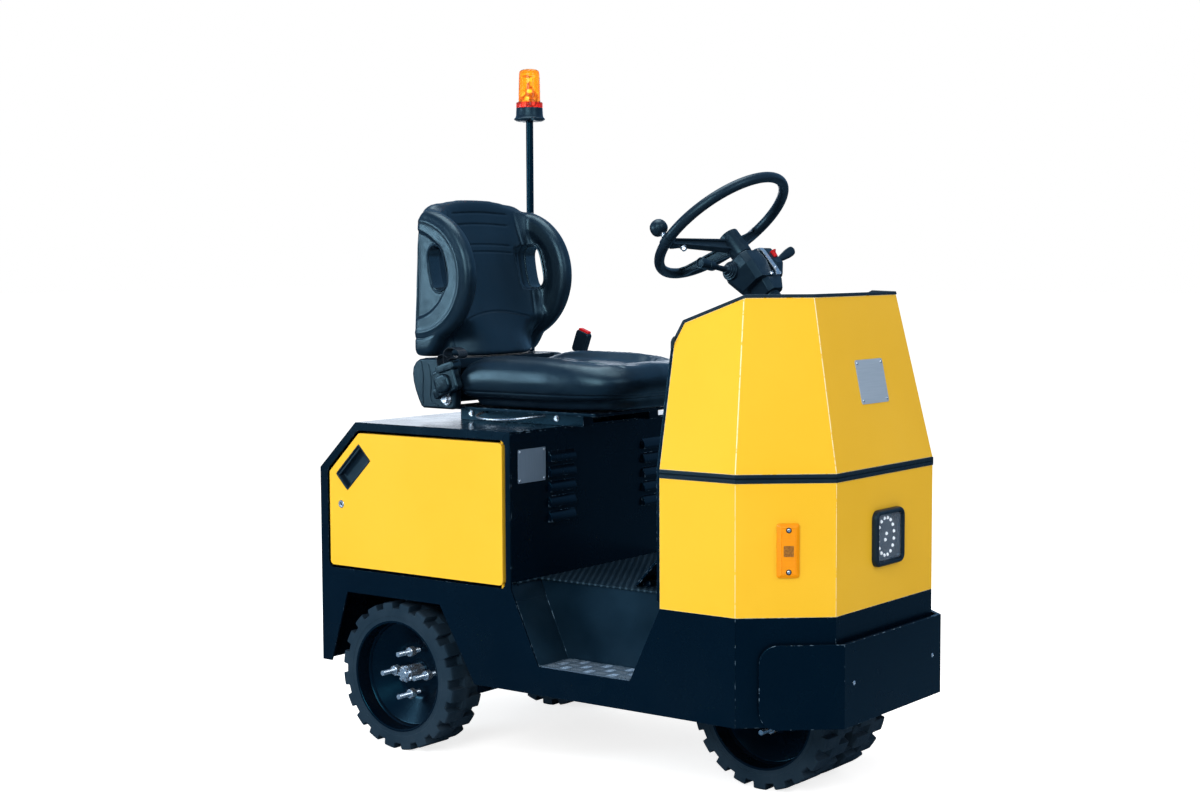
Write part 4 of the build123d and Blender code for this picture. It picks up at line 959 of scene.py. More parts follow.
def bar(path, sideways, outwards, wide, thick, loop):
    """Bar along a path: a loop (u, v) stretched at every point by wide along one direction, thick along the other."""
    path = np.asarray(path, float)
    wide, thick = (np.broadcast_to(v, len(path))[:, None, None] for v in (wide, thick))
    return capped(path[:, None] + wide * loop[None, :, :1] * sideways + thick * loop[None, :, 1:] * outwards)


def wheel_rim():
    """Ring: a circle of 13.8 mm carried round at 190 mm, flattened by 8 percent on its inner side."""
    turn = lap(144)[:, None]
    around = lap(28)[None]
    reach = rim_reach + 0.0138 * np.cos(around) * (1 - 0.08 * (np.cos(around) < 0))
    return skin(on_wheel(reach * np.cos(turn), reach * np.sin(turn), 0.0138 * np.sin(around) + 0 * turn), True, True)


def spoke(angle, rise):
    """Spoke from the boss up to the rim: its depth falls from 33 to 20 mm and its end lifts into the rim by rise."""
    s = np.linspace(0, 1, 24)
    reach = 0.02 + 0.163 * s
    high = -0.045 + 0.051 * s + rise * ease(s, 0.82, 0.97)
    low = -0.079 + 0.067 * s - 0.004 * ease(s, 0.8, 1.0)
    return bar(
        on_wheel(reach * cos(angle), reach * sin(angle), (high + low) / 2), heading(-sin(angle), cos(angle), 0),
        wheel_up, 0.0105 - 0.002 * s + 0.003 * ease(s, 0.85, 1.0), (high - low) / 2, flange_loop,
    )


boss_side = mm(
    -100, 0, -100, 26.2, -98.5, 27.7, -90, 28.2, -70, 27.4, -45, 27, -33.5, 27, -31, 26.3, -30.2, 24.8, -30.8, 23.2,
    -33.5, 22, -38.5, 19.5, -39.5, 12, -39.5, 0,
)
knob_turn = radians(252)
knob_foot = on_wheel(rim_reach * cos(knob_turn), rim_reach * sin(knob_turn), 0)
knob_side = mm(
    23.5, 0, 23.5, 9, 24, 12.5, 26.5, 17, 31, 20.8, 36.5, 22.6, 37.5, 22, 38.5, 22.7, 45, 22.8, 51.5, 21.2,
    57.5, 17.5, 61.5, 12.5, 64, 6.5, 64.6, 0,
)
knob_clamp = []
for t in np.linspace(knob_turn - 0.075, knob_turn + 0.075, 9):
    reach = rim_reach + 0.0158 * round_loop[:, 0]
    knob_clamp.append(on_wheel(reach * cos(t), reach * sin(t), 0.0158 * round_loop[:, 1]))
spokes = [spoke(radians(angle), rise) for angle, rise in ((98, 0.006), (174, 0.003), (250, 0.0))]
piece(
    "steering_rim",
    [wheel_rim(), spun(boss_side, wheel_centre, wheel_up, 64), spun(knob_side, knob_foot, wheel_up, 40),
     capped(np.stack(knob_clamp))] + spokes,
    hard_plastic, 38, ["steering_wheel"], "steering_wheel",
)
spoke_screw = on_wheel(0.153 * cos(radians(250)), 0.153 * sin(radians(250)), -0.0265)
knob_stem = mm(13.5, 0, 13.5, 7.8, 16.5, 7.8, 17.2, 6, 23.6, 6, 23.6, 0)
boss_nut = mm(-39.6, 0, -39.6, 11, -37, 11.5, -36, 9.5, -36, 0)
bright = [
    spun(knob_stem, knob_foot, wheel_up, 28), bolt(spoke_screw, -wheel_up, 0.0105, 0.006, 0.0085),
    spun(boss_nut, wheel_centre, wheel_up, 6),
]
piece("steering_bright", bright, zinc, 32, body="steering_wheel")

# Steering column: steel tube under a ribbed plastic jacket, with a clamp collar below the boss.
# One section turned round the column: the collar, 26 ribs 6 mm apart, and the foot.
rib = ((0, 0.0238), (0.003, 0.0238), (0.0038, 0.0228), (0.0052, 0.0228))
column_side = np.array(
    [(-0.1002, 0), (-0.1002, 0.0125), (-0.1045, 0.0125), (-0.105, 0.0215), (-0.1065, 0.0236)]
    + [(-0.108 - 0.006 * i - drop, radius) for i in range(26) for drop, radius in rib]
    + [(-0.297, 0.0238), (-0.3, 0.0225), (-0.3, 0)]
)
piece("column_jacket", [spun(column_side, wheel_centre, wheel_up, 40)], hard_plastic, 32, ["steering_column"])

# Column switches: two moulded housings clamped round the column with an aluminium strap between them,
# a ribbed boot and stalk with a twist grip on the right, a broad paddle stalk on the left, a red rocker.
def housing(*rows):
    """Faceted housing: chamfered rectangles one above another, each of six millimetre values: column distance,
    rear, fore, right, left and chamfer."""
    rows = np.array(rows).reshape(-1, 6) / 1000
    loops = np.array([
        [(rear + cut, right), (fore - cut, right), (fore, right + cut), (fore, left - cut), (fore - cut, left),
         (rear + cut, left), (rear, left - cut), (rear, right + cut)]
        for up, rear, fore, right, left, cut in rows
    ])
    return capped(on_wheel(loops[..., 0], loops[..., 1], rows[:, :1] + 0 * loops[..., 0]))


stalk_foot = on_wheel(-0.016, -0.07, -0.138)
stalk_out = heading(0, -1, 0.25)
paddle_foot = on_wheel(0.012, 0.066, -0.146)
paddle_out = heading(0.42, 0.88, 0.2)
paddle_edge = np.array((-0.25, 0.1, 1.0))
paddle_across = unit(paddle_edge - paddle_out * (paddle_edge @ paddle_out))
boot_side = mm(
    -6, 0, -6, 24, 6, 24.5, 8, 23.5, 8.5, 20.5, 11, 20.5, 13, 19.5, 13.5, 16.5, 16, 16.5, 18, 15.5, 18.5, 12.5,
    22, 12, 26, 9.5, 27, 0,
)
stalk_side = mm(
    20, 0, 20, 6.8, 50, 6, 62, 6.2, 68, 9.5, 74, 10.8, 90, 11.2, 90.5, 10.4, 92.5, 10.4, 93, 11.2, 106, 11.6,
    118.5, 12.2, 119.8, 11.4, 120, 10.2, 119.2, 9.2, 116.5, 8.4, 115.5, 0,
)
paddle_s = np.linspace(0, 1, 30)
paddle_path = paddle_foot + (0.004 + 0.1 * paddle_s)[:, None] * paddle_out
paddle_wide = np.interp(
    paddle_s, [0, 0.3, 0.5, 0.7, 0.85, 0.94, 0.985, 1.0],
    [0.0052, 0.0055, 0.0095, 0.0125, 0.0129, 0.0108, 0.0062, 0.001],
)
paddle_thick = np.interp(paddle_s, [0, 0.3, 0.5, 0.85, 0.985, 1.0], [0.0052, 0.0052, 0.0048, 0.0046, 0.003, 0.0008])
housings = [
    housing(
        -109, -34, 30, -50, 12, 12, -119, -46, 45, -70, 16, 14, -152, -48, 48, -76, 18, 14, -198, -40, 40, -64, 14, 14
    ),
    housing(
        -108, -30, 40, 24, 62, 10, -116, -44, 49, 20, 73, 12, -165, -46, 52, 20, 79, 13, -192, -30, 38, 24, 66, 12
    ),
    housing(-112, -30, 36, -10, 30, 2, -178, -30, 36, -10, 30, 2),
    housing(-170, -34, 36, -36, 50, 12, -205, -34, 36, -36, 50, 12, -232, -30, 30, -30, 34, 12),
]
piece("switch_housings", housings, hard_plastic, 22, ["column_switches"], roll=0.0018)
piece(
    "switch_stalks",
    [spun(boot_side, stalk_foot, stalk_out, 40), spun(stalk_side * (1, 1.18), stalk_foot, stalk_out, 32),
     spun(boot_side * (0.8, 0.8), paddle_foot, paddle_out, 32),
     bar(paddle_path, paddle_across, np.cross(paddle_out, paddle_across), paddle_wide, paddle_thick, round_loop)],
    hard_plastic, 38,
)
wire_runs = [
    smooth_path(on_wheel(
        [0.03 - 0.006 * i, 0.04, 0.02 - 0.004 * i, 0.014, 0.012], [y, y + 0.004, y - 0.01 * i, 0.4 * y, 0.3 * y],
        [-0.18, -0.196, -0.214 - 0.005 * i, -0.232, -0.262],
    ))
    for i, y in enumerate((-0.02, 0.0, 0.016, 0.034))
]
piece("switch_wires", [bead(path, 0.0024) for path in wire_runs], glossy_plastic, 60)
strap_loop = np.array([(-1, -1), (1, -1), (1, 1), (-1, 1)])
strap_path = on_wheel(
    [-0.02, 0.034, 0.0475, 0.0495, 0.0495, 0.044], 0.0155 + np.zeros(6), [-0.1075, -0.1075, -0.115, -0.126, -0.19, -0.2]
)
clamps = [bolt(on_wheel(0.04, left, -0.19), -wheel_up, 0.006, 0.004, 0.0065) for left in (0.036, -0.004)]
piece(
    "switch_strap",
    [bar(strap_path, leftward, (wheel_fore + 0.4 * wheel_up) / 1.077, 0.0078, 0.0014, strap_loop),
     bolt(on_wheel(0.0505, 0.0155, -0.182), wheel_fore, 0.003, 0.0034, 0.0048)] + clamps,
    zinc, 25, roll=0.0006,
)
rocker = housing(
    -128, 40, 53.5, 44, 55, 2, -130, 40, 62.5, 43, 56, 2, -136, 40, 57, 43, 56, 2, -147, 40, 56, 43, 56, 2,
    -148, 40, 50, 44, 55, 2,
)
piece("switch_rocker", [rocker], red_button, 25, roll=0.0008)

# Floor plate: 4 mm steel sheet with a black non-slip coat, rolled with small raised diamonds.
# The diamonds stand where two sets of waves, 32 degrees either way, cross.
tread_coat, mat = material("tread_coat", "floor_rubber", 0.42, 0.35, cast=(0.4, 0.8, 1.0))
tread_waves = [
    put(
        mat, "TexWave", {"bands_direction": "X"}, Scale=19.0, Distortion=0.4,
        Vector=put(mat, "Mapping", Vector=spots(mat), Rotation=(0, 0, radians(angle))).outputs[0],
    ).outputs["Fac"]
    for angle in (32, -32)
]
tread_raised = span(mat, maths(mat, "MULTIPLY", *tread_waves), 0.25, 0.7)
tread_tone = mix(mat, tread_raised, (0.004, 0.011, 0.019), (0.03, 0.058, 0.085))
shade(mat, Base_Color=mix(mat, place(mat, dust, Amount=0.12), tread_tone, (0.08, 0.12, 0.16)))
relief(mat, tread_raised, 0.0018)
folded("floor_plate", tread_coat, 0.001, 30)

# Step treads: aluminium five-bar plate laid in both step wells; groups of five raised bars, each turned
# a quarter from its neighbours, bright where shoes rub them.
tread_metal = plated("tread_metal", "aluminium_tread", (0.5, 0.64, 0.78), 0.3, 900.0, 0.55)
tread = tread_metal.node_tree
tread_top = span(tread, altitude(tread), 0.2959, 0.2966)
shade(tread, Base_Color=mix(tread, tread_top, (0.17, 0.25, 0.34), fed(tread, "Base Color")))
bar_loop = np.array([(1, -0.4), (0.8, 0.45), (0.4, 0.9), (0, 1.0), (-0.4, 0.9), (-0.8, 0.45), (-1, -0.4), (0, -1.0)])


def five_bars(centre, along, across):
    """Group of five bars 6.4 mm apart: each 27 mm long, its width and height swelling by a root of a cosine."""
    s = np.linspace(-1, 1, 9)
    swell = np.maximum(np.cos(s * pi / 2), 0.02) ** 0.45
    paths = [centre + along * (0.0135 * s)[:, None] + across * (0.0064 * i) for i in range(-2, 3)]
    return [bar(path, across, skyward, 0.0016 * swell, 0.0012 * swell, bar_loop) for path in paths]


for side, hand in hands:
    outline = block_outline((0, 0), 0.279, 0.117, 0, 0.003)
    middle = np.array((back + 0.9205, side * 0.3365, 0.0))
    base = [
        middle + np.column_stack([outline * (1 - inset / 0.14, 1 - inset / 0.058), z + 0 * outline[:, 0]])
        for z, inset in ((0.2941, 0.0), (0.2952, 0.0), (0.2958, 0.0008))
    ]
    bars = []
    for i in range(7):
        for j in range(3):
            axes = (forward, leftward) if (i + j) % 2 else (leftward, forward)
            bars += five_bars(middle + ((i - 3) * 0.0375, (j - 1) * 0.0375, 0.2957), *axes)
    stands_for = ["step_treads"] if side < 0 else ()
    piece(f"step_plate_{hand}", [capped(np.stack(base))] + bars, tread_metal, 40, stands_for)

# Plates: a blank grey data plate on four rivets beside the louvres, and a blank badge on the cowl's front.
# Both are brushed sheet with rounded corners and edges.
plate_grey = patterned(
    "plate_grey", "aluminium_tread", 0.42, 0.4, (speckle, 260.0, 4.0, (1, 1, 0.06)), (0.095, 0.15, 0.22),
    (0.14, 0.205, 0.29), 0.00004,
)
badge_metal = patterned(
    "badge_metal", "aluminium_tread", 0.45, 0.4, (speckle, 240.0, 4.0, (1, 0.05, 1)), (0.27, 0.36, 0.47),
    (0.38, 0.47, 0.58), 0.00004,
)
rivet_side = mm(0, 0, 0, 3.2, 0.8, 3.1, 1.6, 2.3, 2, 1.2, 2.1, 0)
cowl_lean = 0.209
badge_z = 1.033
lean_up = unit(np.array((-cowl_lean, 0, 1.0)))
badge_spot = (back + 1.561 - cowl_lean * (badge_z - 0.827), 0, badge_z)


def raised(centre, across, up, rows, width, height, corner, ring=False):
    """Rounded rectangle built outwards in rows of (distance off its face, inset all round), closed at both ends,
    or left as a frame that closes on itself."""
    centre, across, up = (np.asarray(v, float) for v in (centre, across, up))
    out = np.cross(across, up)
    loops = []
    for off, inset in rows:
        loop = block_outline((0, 0), width - 2 * inset, height - 2 * inset, 0, max(corner - inset, 0.0008))
        loops.append(centre + loop[:, :1] * across + loop[:, 1:] * up + off * out)
    return skin(np.stack(loops), True, True) if ring else capped(np.stack(loops))

for name, rivets, coat, spot, up, edge, face, size, stand, spread, scale in (
    ("data_plate", "plate_rivets", plate_grey, (back + 0.686, -0.31, 0.8005), skyward, 0.8, 1.2,
     (0.114, 0.088, 0.003), 0.0011, (0.0505, 0.0375), 1.15),
    ("cowl_badge", "badge_rivets", badge_metal, badge_spot, lean_up, 1.1, 1.6,
     (0.135, 0.11, 0.006), 0.0015, (0.059, 0.0465), 1.25),
):
    rows = mm(-0.4, 0, edge, 0, face, 0.6)
    piece(name, [raised(spot, leftward, up, rows, *size)], coat, 40)
    out = np.cross(leftward, up)
    feet = [
        np.array(spot) + stand * out + u * spread[0] * leftward + v * spread[1] * up for u in (-1, 1) for v in (-1, 1)
    ]
    piece(rivets, [spun(rivet_side * scale, foot, out, 16) for foot in feet], zinc, 40)

# Headlight: a rounded square LED lamp; thick rubber bezel, black frame, blue-grey reflector with sixteen
# diodes in a ring and two in the middle, under a clear cover.
lamp_spot = np.array((back + 1.561, 0, 0.65))
lamp_size = (0.145, 0.14, 0.022)
bezel_rows = mm(
    0, 0, 6, 0, 10.5, 0.7, 13.5, 2.4, 15.4, 5, 16, 7.8, 15.2, 10.2, 13, 11.8, 10, 12.2, 0, 12.4, -19.5, 12.4,
    -19.5, 11.8, -0.4, 11.8, -0.4, 0,
)
reflector_rows = mm(-19, 12.6, 5.8, 12.6, 5.8, 14.5, 0.5, 16.5, -0.4, 19, -0.4, 24, -1.2, 26.5, -1.4, 50)
cover_rows = mm(4.8, 12.8, 7.5, 12.8, 9.5, 14.5, 10.4, 20, 10.8, 40)
diode_side = mm(-0.5, 0, -0.5, 3.6, 0.8, 3.4, 2, 2.7, 2.8, 1.6, 3.1, 0)
reflector = patterned(
    "reflector", "clear_lens", 0.34, 0.3, (waves, "Y", 160.0), (0.02, 0.06, 0.11), (0.036, 0.092, 0.16), 0.0001,
    metal=0.3,
)
# The diodes are painted near white and glow a little though the lamp is off: painted glints.
diode = patterned("diode", "clear_lens", 0.12, 0.6, (speckle, 900.0), (0.72, 0.8, 0.88), (0.85, 0.9, 0.95))
shade(diode.node_tree, Emission_Color=(0.8, 0.9, 1.0, 1), Emission_Strength=0.4)
clear_cover = patterned("clear_cover", "clear_lens", 0.06, 0.5, (speckle, 60.0), (0.85, 0.92, 1.0), (0.9, 0.95, 1.0))
shade(clear_cover.node_tree, Alpha=0.05)
bezel = raised(lamp_spot, leftward, skyward, bezel_rows, *lamp_size, True)
piece("lamp_bezel", [bezel], trim_rubber, 40, ["headlight_bezel"])
dish = raised(lamp_spot, leftward, skyward, reflector_rows, *lamp_size)
piece("lamp_reflector", [dish], reflector, 30, ["headlight_lens"])
diode_spots = [(0.041 * cos(t), 0.047 * sin(t)) for t in lap(16) + 0.2] + [(0.003, 0.007), (-0.003, -0.008)]
diodes = [spun(diode_side * 1.3, lamp_spot + (-0.0012, u, v), forward, 14) for u, v in diode_spots]
piece("lamp_diodes", diodes, diode, 50)
piece("lamp_cover", [raised(lamp_spot, leftward, skyward, cover_rows, *lamp_size)], clear_cover, 30)

# Marker lamps: amber moulded lenses screwed on the slanted facets, sides sloping to a flat face,
# with a small ribbed window over the bulb and two screws in dark rings.
amber, resin = material("amber", "amber_lens", 0.26, 0.3, 0.25, 0.08)
resin_ribs = waves(resin, "Z", 90.0)
resin_cloud = mix(resin, speckle(resin, 40.0), (0.9, 0.26, 0.0006), (0.94, 0.32, 0.001))
shade(resin, Base_Color=mix(resin, resin_ribs, resin_cloud, (0.92, 0.34, 0.0016)))
relief(resin, resin_ribs, 0.00012)


def cells(tree, scale):
    """Distance to the nearest of scattered points, in 1/m."""
    return put(tree, "TexVoronoi", Vector=spots(tree), Scale=scale).outputs["Distance"]


amber_dark = patterned(
    "amber_dark", "amber_lens", 0.3, 0.5, (cells, 240.0), (0.16, 0.06, 0.004), (0.5, 0.2, 0.02), 0.0006, coat=0.2
)
ring_black = moulded(
    "ring_black", "black_plastic", (0.004, 0.008, 0.013), (0.006, 0.011, 0.017), 0.3, 0.4, 300.0, 0.00003, 0.03
)
facet_run = unit(np.array((0.184, 0.157)))
marker_rows = mm(-0.4, 0, 3.5, 0, 4.5, 0.4, 12.8, 7.6, 13.6, 8.4, 13.6, 9.4, 13, 9.8, 13, 10.8, 13.7, 11.2)
window_rows = mm(0, 0, 0.7, 0, 1, 0.6)
ring_side = mm(13.5, 0, 13.5, 6.8, 14.5, 6.6, 14.5, 4.6, 14.2, 0)
screw_side = mm(14, 0, 14, 4.4, 15.3, 4.1, 16.1, 2.4, 15.7, 0.9, 15.7, 0)
for side, hand in hands:
    spot = np.array((back + 1.377 + 0.126 * facet_run[0], side * (0.4 - 0.126 * facet_run[1]), 0.646))
    across = -side * np.array((facet_run[0], -side * facet_run[1], 0.0))
    out = np.cross(across, skyward)
    lens_body = raised(spot, across, skyward, marker_rows, 0.054, 0.13, 0.006)
    piece(f"marker_lens_{hand}", [lens_body], amber, 30, ["marker_lamps"] if side < 0 else ())
    window = raised(spot + 0.0134 * out, across, skyward, window_rows, 0.024, 0.026, 0.001)
    piece(f"marker_window_{hand}", [window], amber_dark, 30)
    for name, section, steps, coat in (("rings", ring_side, 24, ring_black), ("screws", screw_side, 20, zinc)):
        pair = [spun(section, spot + (0, 0, z), out, steps) for z in (-0.05, 0.05)]
        piece(f"marker_{name}_{hand}", pair, coat, 30)

# Bumper screws: small button heads through the 8 mm plate into the skirt's brackets.
# Each is one turned section with its socket sunk in.
button = mm(-1, 0, -1, 5.8, 0.2, 5.6, 1.1, 4.2, 1.4, 2.6, 0.8, 2.4, 0.8, 0)
buttons = [spun(button, (back + 1.587, side * 0.2, 0.322), forward, 24) for side in (-1, 1)]
piece("bumper_screws", buttons, zinc)

# Door fittings: a black plastic cup with rounded walls and a finger lip in each door's slanted corner,
# and a nickel-plated quarter-turn lock below it.
cup_along = unit(np.array((0.113, 0, 0.111)))
cup_up = np.array((-cup_along[2], 0, cup_along[0]))
cup_rows = mm(
    -22, 0, -0.4, 0, 0.8, 0.4, 1.2, 1.6, 0.6, 3.4, -1.8, 5.2, -8, 6.6, -15.5, 8.2, -17.8, 10.5, -18.5, 15, -18.5, 26,
)
lip_rows = mm(-17, 0, -4, 0, -2.2, 0.8, -2.2, 2)
lock_side = mm(-20, 0, -20, 10.6, -0.6, 10.6, 0.6, 10.2, 1.4, 9, 1.4, 6.6, 0.4, 6.2, 0.2, 5.6, 0.2, 0)
for side, hand in hands:
    body = f"door_{hand}"
    spot = np.array((back + 0.126, side * 0.4, 0.768))
    cup = raised(spot, -side * cup_along, cup_up, cup_rows, 0.124, 0.063, 0.009)
    lip = raised(spot + 0.0225 * cup_up, -side * cup_along, cup_up, lip_rows, 0.112, 0.006, 0.0025)
    piece(f"pull_cup_{hand}", [cup, lip], hard_plastic, 35, [f"door_pull_{hand}"], body)
    lock = spun(lock_side, (back + 0.079, side * 0.4, 0.663), (0, side, 0), 32)
    piece(f"door_lock_{hand}", [lock], zinc, 32, body=body)
    key_bar = upright_slab((0.079, 0.663), 0.0036, 0.0098, 25, 0.0012, 0.3985, 0.401, 0.0004, side)
    piece(f"lock_key_{hand}", [key_bar], ring_black, 32, body=body)

# Well closers and door ledges: steel strips welded in where the wells' sloped ends meet the floor plate, and
# an angle behind each door's lower and front edges that keeps the light and the rain out of the box.
closers = (
    mm(700.2, 454.5, 681.2, 495.5, 677.2, 495.5, 696.2, 454.5),
    mm(1141.8, 451.5, 1145.8, 451.5, 1167, 495.5, 1163, 495.5),
)
for side, hand in hands:
    strips = [slab(outline, outline.mean(0), 0.272, 0.3955, 0.0004, side, 3) for outline in closers]
    # The strips take the wells' coat with its painted sheen.
    piece(f"well_closers_{hand}", strips, well_coat_painted_sheen, 40)
    ledge = [
        upright_slab(spot, width, height, 0, 0.001, low, high, 0.0005, side)
        for spot, width, height, low, high in (
            ((0.353, 0.484), 0.646, 0.036, 0.366, 0.369), ((0.353, 0.4675), 0.646, 0.003, 0.366, 0.3955),
            ((0.6645, 0.678), 0.039, 0.4, 0.3655, 0.3685),
        )
    ]
    piece(f"door_ledge_{hand}", ledge, black_coat, 40)

# Beacon: amber dome with upright ribs inside over a red-orange ring, on a black base with two lugs;
# a reflector cone and a bulb show through, the cone bright with painted glints and a painted glow.
beacon_spot = np.array((back + 0.17, 0.325, 1.747))
base_side = mm(
    0, 0, 0, 37, 2, 42, 5, 46.2, 7.5, 46.6, 9.5, 44.5, 12.5, 41.8, 18, 40.4, 30, 39.9, 34, 39.6, 38, 39.8, 40.2, 39,
    40.2, 0,
)
pole_side = mm(-854, 0, -854, 34, -848.5, 34, -846.5, 32.5, -846, 14, -843, 11, 0, 11, 0, 0)
lug_section = mm(2, 0, 2, 8.5, 11, 8.5, 12, 7.5, 12, 0)
cone = mm(
    40.2, 0, 40.2, 24, 58, 25, 64, 27, 72, 26, 86, 19, 94, 12, 100, 8.5, 112, 7.5, 128, 7.2, 131, 18.5, 134, 19,
    136, 17, 136, 0,
)
dome_outer = mm(
    40, 36.5, 40, 38.8, 41, 39.5, 54.5, 39.5, 56, 38.5, 57, 33.5, 59, 32.8, 90, 32.2, 128, 31.2, 143, 30.4, 149, 28.6,
    152.5, 23.5, 154.5, 15.5, 155, 0.1,
)
dome_inner = mm(
    152.5, 0.1, 152, 15.5, 149.5, 23, 145.5, 26.8, 138, 28, 128, 28.8, 90, 29.8, 60, 30.6, 55, 35.5, 42, 36.8,
)


def round_pole(reach, turn, z):
    """Point at a reach and a turn about the pole, z above the pole's top."""
    return beacon_spot + (reach * cos(turn), reach * sin(turn), z)


pole_bolts = [bolt(round_pole(0.0235, t, -0.8465), skyward, 0.006, 0.0052, 0.008) for t in (0.5, 2.6, 4.7)]
lugs = [spun(lug_section, round_pole(0.044, t, -0.002), skyward, 24) for t in (-0.6, pi - 0.6)]
piece("beacon_mast", [spun(pole_side, beacon_spot, skyward, 32)], black_coat, 35, ["beacon_pole"])
piece("beacon_base", [spun(base_side, beacon_spot, skyward, 64)] + lugs, hard_plastic)
piece("pole_bolts", pole_bolts, zinc, 32)


def ribbed_dome():
    """Dome: outer profile as moulded, its ring swung by 54 ribs; inner wall 2.4 mm in, with 36 upright ribs
    that swing its radius by 1 mm."""
    turn = lap(216)[:, None]
    outer, inner = dome_outer[:, 0], dome_inner[:, 0]
    ribs = np.concatenate([0 * outer, 0.0009 * (inner < 0.147) * (inner > 0.058)])
    teeth = np.concatenate([0.0009 * (outer > 0.0405) * (outer < 0.0555), 0 * inner])
    height, radius = np.concatenate([dome_outer, dome_inner]).T
    radius = radius - ribs * (0.5 + 0.5 * np.cos(36 * turn)) - teeth * (0.5 + 0.5 * np.cos(54 * turn))
    points = np.stack([radius * np.cos(turn), radius * np.sin(turn), height + 0 * turn], -1)
    return skin(beacon_spot + points, True, True)


beacon_amber, glow = material("beacon_amber", "amber_lens", 0.12, 0.5)
glow_low = span(glow, altitude(glow), 1.802, 1.806, 1.0, 0.0)
glow_cloud = mix(glow, speckle(glow, 30.0), (1.0, 0.42, 0.035), (1.0, 0.5, 0.06))
# Towards the dome's rim as seen, the amber turns redder and darker: painted shade where the dome turns away from the
# view.
painted_rim_shade = span(glow, put(glow, "LayerWeight", Blend=0.35).outputs["Facing"], 0.35, 0.9)
painted_rim_shaded_amber = mix(glow, painted_rim_shade, glow_cloud, (0.9, 0.2, 0.06))
shade(glow, Base_Color=mix(glow, glow_low, painted_rim_shaded_amber, (0.78, 0.07, 0.05)), Transmission_Weight=0.88, IOR=1.25)
piece("beacon_dome", [ribbed_dome()], beacon_amber, 40, ["beacon_lens"])
# Reflector cone: bright spots in its colour and a glow from its emission, painted glints and a painted glow, though the
# beacon is off.
mirror, painted_glint_tree = material("beacon_mirror", "aluminium_tread", 0.12, 0.5, metal=0.6)
painted_glint_spots = span(painted_glint_tree, cells(painted_glint_tree, 52.0), 0.3, 0.6, 1.0, 0.0)
shade(
    painted_glint_tree, Base_Color=mix(painted_glint_tree, painted_glint_spots, (0.55, 0.3, 0.1), (1.0, 0.93, 0.7)), Emission_Strength=1.4,
    Emission_Color=mix(painted_glint_tree, painted_glint_spots, (0.1, 0.02, 0.0), (1.0, 0.95, 0.6)),
)
piece("beacon_inside", [spun(cone, beacon_spot, skyward, 40)], mirror, 32)

# Tail lamps: red lens over amber and clear bands in a black frame, screwed to the rear wall.
# Frame and lenses are rounded rectangles built out from the wall.
red = patterned(
    "lamp_red", "red_lens", 0.2, 0.5, (waves, "Y", 110.0), (0.42, 0.006, 0.006), (0.6, 0.014, 0.01), 0.00015,
    coat=0.3, coat_rough=0.06,
)
frame_rows = mm(0, 0, 12, 0, 15.5, 1.2, 16.5, 3, 15.5, 5.5, 0, 6)
lens_rows = mm(0, 6.2, 18, 6.2, 21.5, 8, 23.5, 12, 24, 20)
for side, hand in hands:
    spot = np.array((back, side * 0.33, 0.64))
    frame_ring = raised(spot, -leftward, skyward, frame_rows, 0.08, 0.15, 0.008, True)
    piece(f"tail_frame_{hand}", [frame_ring], hard_plastic)
    tail = raised(spot + (0, 0, 0.022), -leftward, skyward, lens_rows, 0.08, 0.106, 0.008)
    piece(f"tail_lens_{hand}", [tail], red, 35, ["tail_lamps"] if side < 0 else ())
    signal = raised(spot + (0, 0, -0.05), -leftward, skyward, lens_rows, 0.08, 0.05, 0.008)
    piece(f"turn_lens_{hand}", [signal], amber)

# Seat slide: bent bright lever under the cushion's front and the two slide screws on the near rail.
# The lever is a round bar along a smooth path.
slide_path = smooth_path([
    (back + x, y, z) for x, y, z in (
        (0.41, -0.176, 0.918), (0.4, -0.2, 0.912), (0.43, -0.226, 0.905), (0.5, -0.232, 0.904),
        (0.56, -0.222, 0.908), (0.6, -0.19, 0.915), (0.62, -0.17, 0.918),
    )
])
piece("slide_lever", [bead(slide_path, 0.0035, 14)], zinc, 60)
slide_screws = [bolt((back + x, -0.171, 0.912), (0, -1, 0), 0.006, 0.0055, 0.008) for x in (0.36, 0.66)]
piece("slide_screws", slide_screws, zinc, 32)

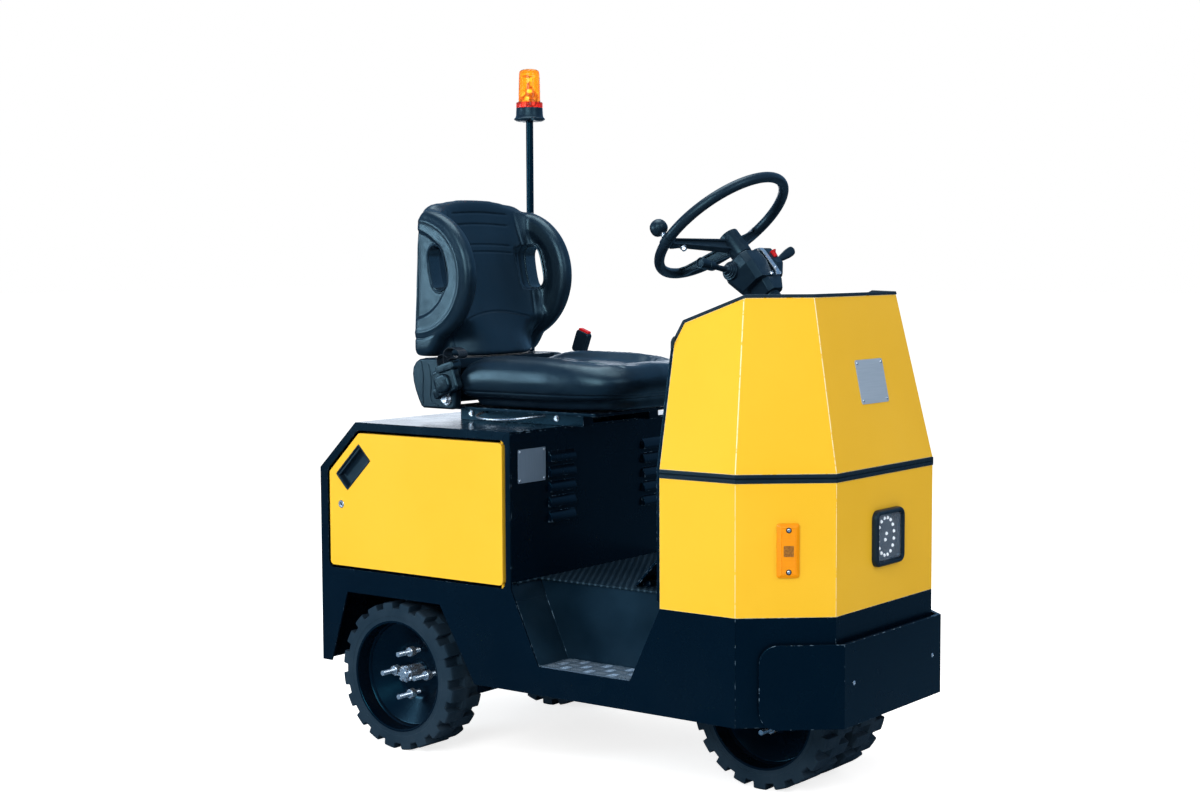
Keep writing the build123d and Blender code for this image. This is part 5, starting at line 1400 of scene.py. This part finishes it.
# Stage: pale floor, soft lamps and a white world, seen from the photograph's viewpoint.
floor_mesh = bpy.data.meshes.new("floor")
floor_mesh.from_pydata([(-60, -60, 0), (60, -60, 0), (60, 60, 0), (-60, 60, 0)], [], [(0, 1, 2, 3)])
linked("floor", floor_mesh)
floor_coat, ground = material("floor", None, 0.9, 0.0)
ray = put(ground, "LightPath").outputs
floor_pale = mix(ground, speckle(ground, 3.0), (0.8, 0.8, 0.8), (0.82, 0.82, 0.82))
shade(
    ground, Base_Color=mix(ground, ray["Is Glossy Ray"], floor_pale, (0.07, 0.16, 0.26)), Emission_Color=(1, 1, 1, 1),
    Emission_Strength=put(ground, "MapRange", Value=ray["Is Camera Ray"], i3=0.0, i4=0.77).outputs[0],
)
floor_mesh.materials.append(floor_coat)

world = bpy.data.worlds.new("studio")
bpy.context.scene.world = world
world.use_nodes = True
sky = world.node_tree
seen = put(sky, "LightPath").outputs
straight = maths(sky, "MAXIMUM", seen["Is Camera Ray"], seen["Is Transmission Ray"])
bounced = mix(sky, seen["Is Glossy Ray"], (0.42, 0.42, 0.42), (0.13, 0.29, 0.5))
feed(sky.nodes["Background"], Color=mix(sky, straight, bounced, (1, 1, 1)), Strength=1.0)

for name, spot, size, power, tint in (
    ("key", (1.5, -4.6, 3.1), 2.6, 135, (1.0, 0.995, 0.98)),
    ("fill", (-3.3, -3.2, 1.65), 1.3, 62, (0.8, 0.91, 1.0)),
    ("front", (4.6, -0.6, 3.4), 2.2, 44, (0.97, 0.97, 1.0)),
    ("top", (-0.4, 0.2, 4.6), 2.6, 92, (1.0, 1.0, 1.0)),
    ("rim", (-4.1, 4.6, 1.7), 2.6, 42, (0.95, 0.97, 1.0)),
):
    lamp = bpy.data.lights.new(name, "AREA")
    lamp.size = size
    lamp.energy = power
    lamp.color = tint
    holder = linked(name, lamp)
    holder.location = spot
    aim = np.array((0.0, 0.0, 0.8)) - spot
    holder.rotation_euler = (np.arccos(-aim[2] / np.linalg.norm(aim)), 0, np.arctan2(aim[1], aim[0]) - pi / 2)

lens = bpy.data.cameras.new("camera")
lens.lens = 58.2
lens.sensor_width = 36
camera = linked("camera", lens)
camera.location = (3.1245, -4.22, 1.343)
camera.rotation_mode = "XYZ"
camera.rotation_euler = (radians(90 - 4.232), radians(0.248), radians(127.087 - 90))
bpy.context.scene.camera = camera
bpy.context.scene.view_settings.view_transform = "Standard"
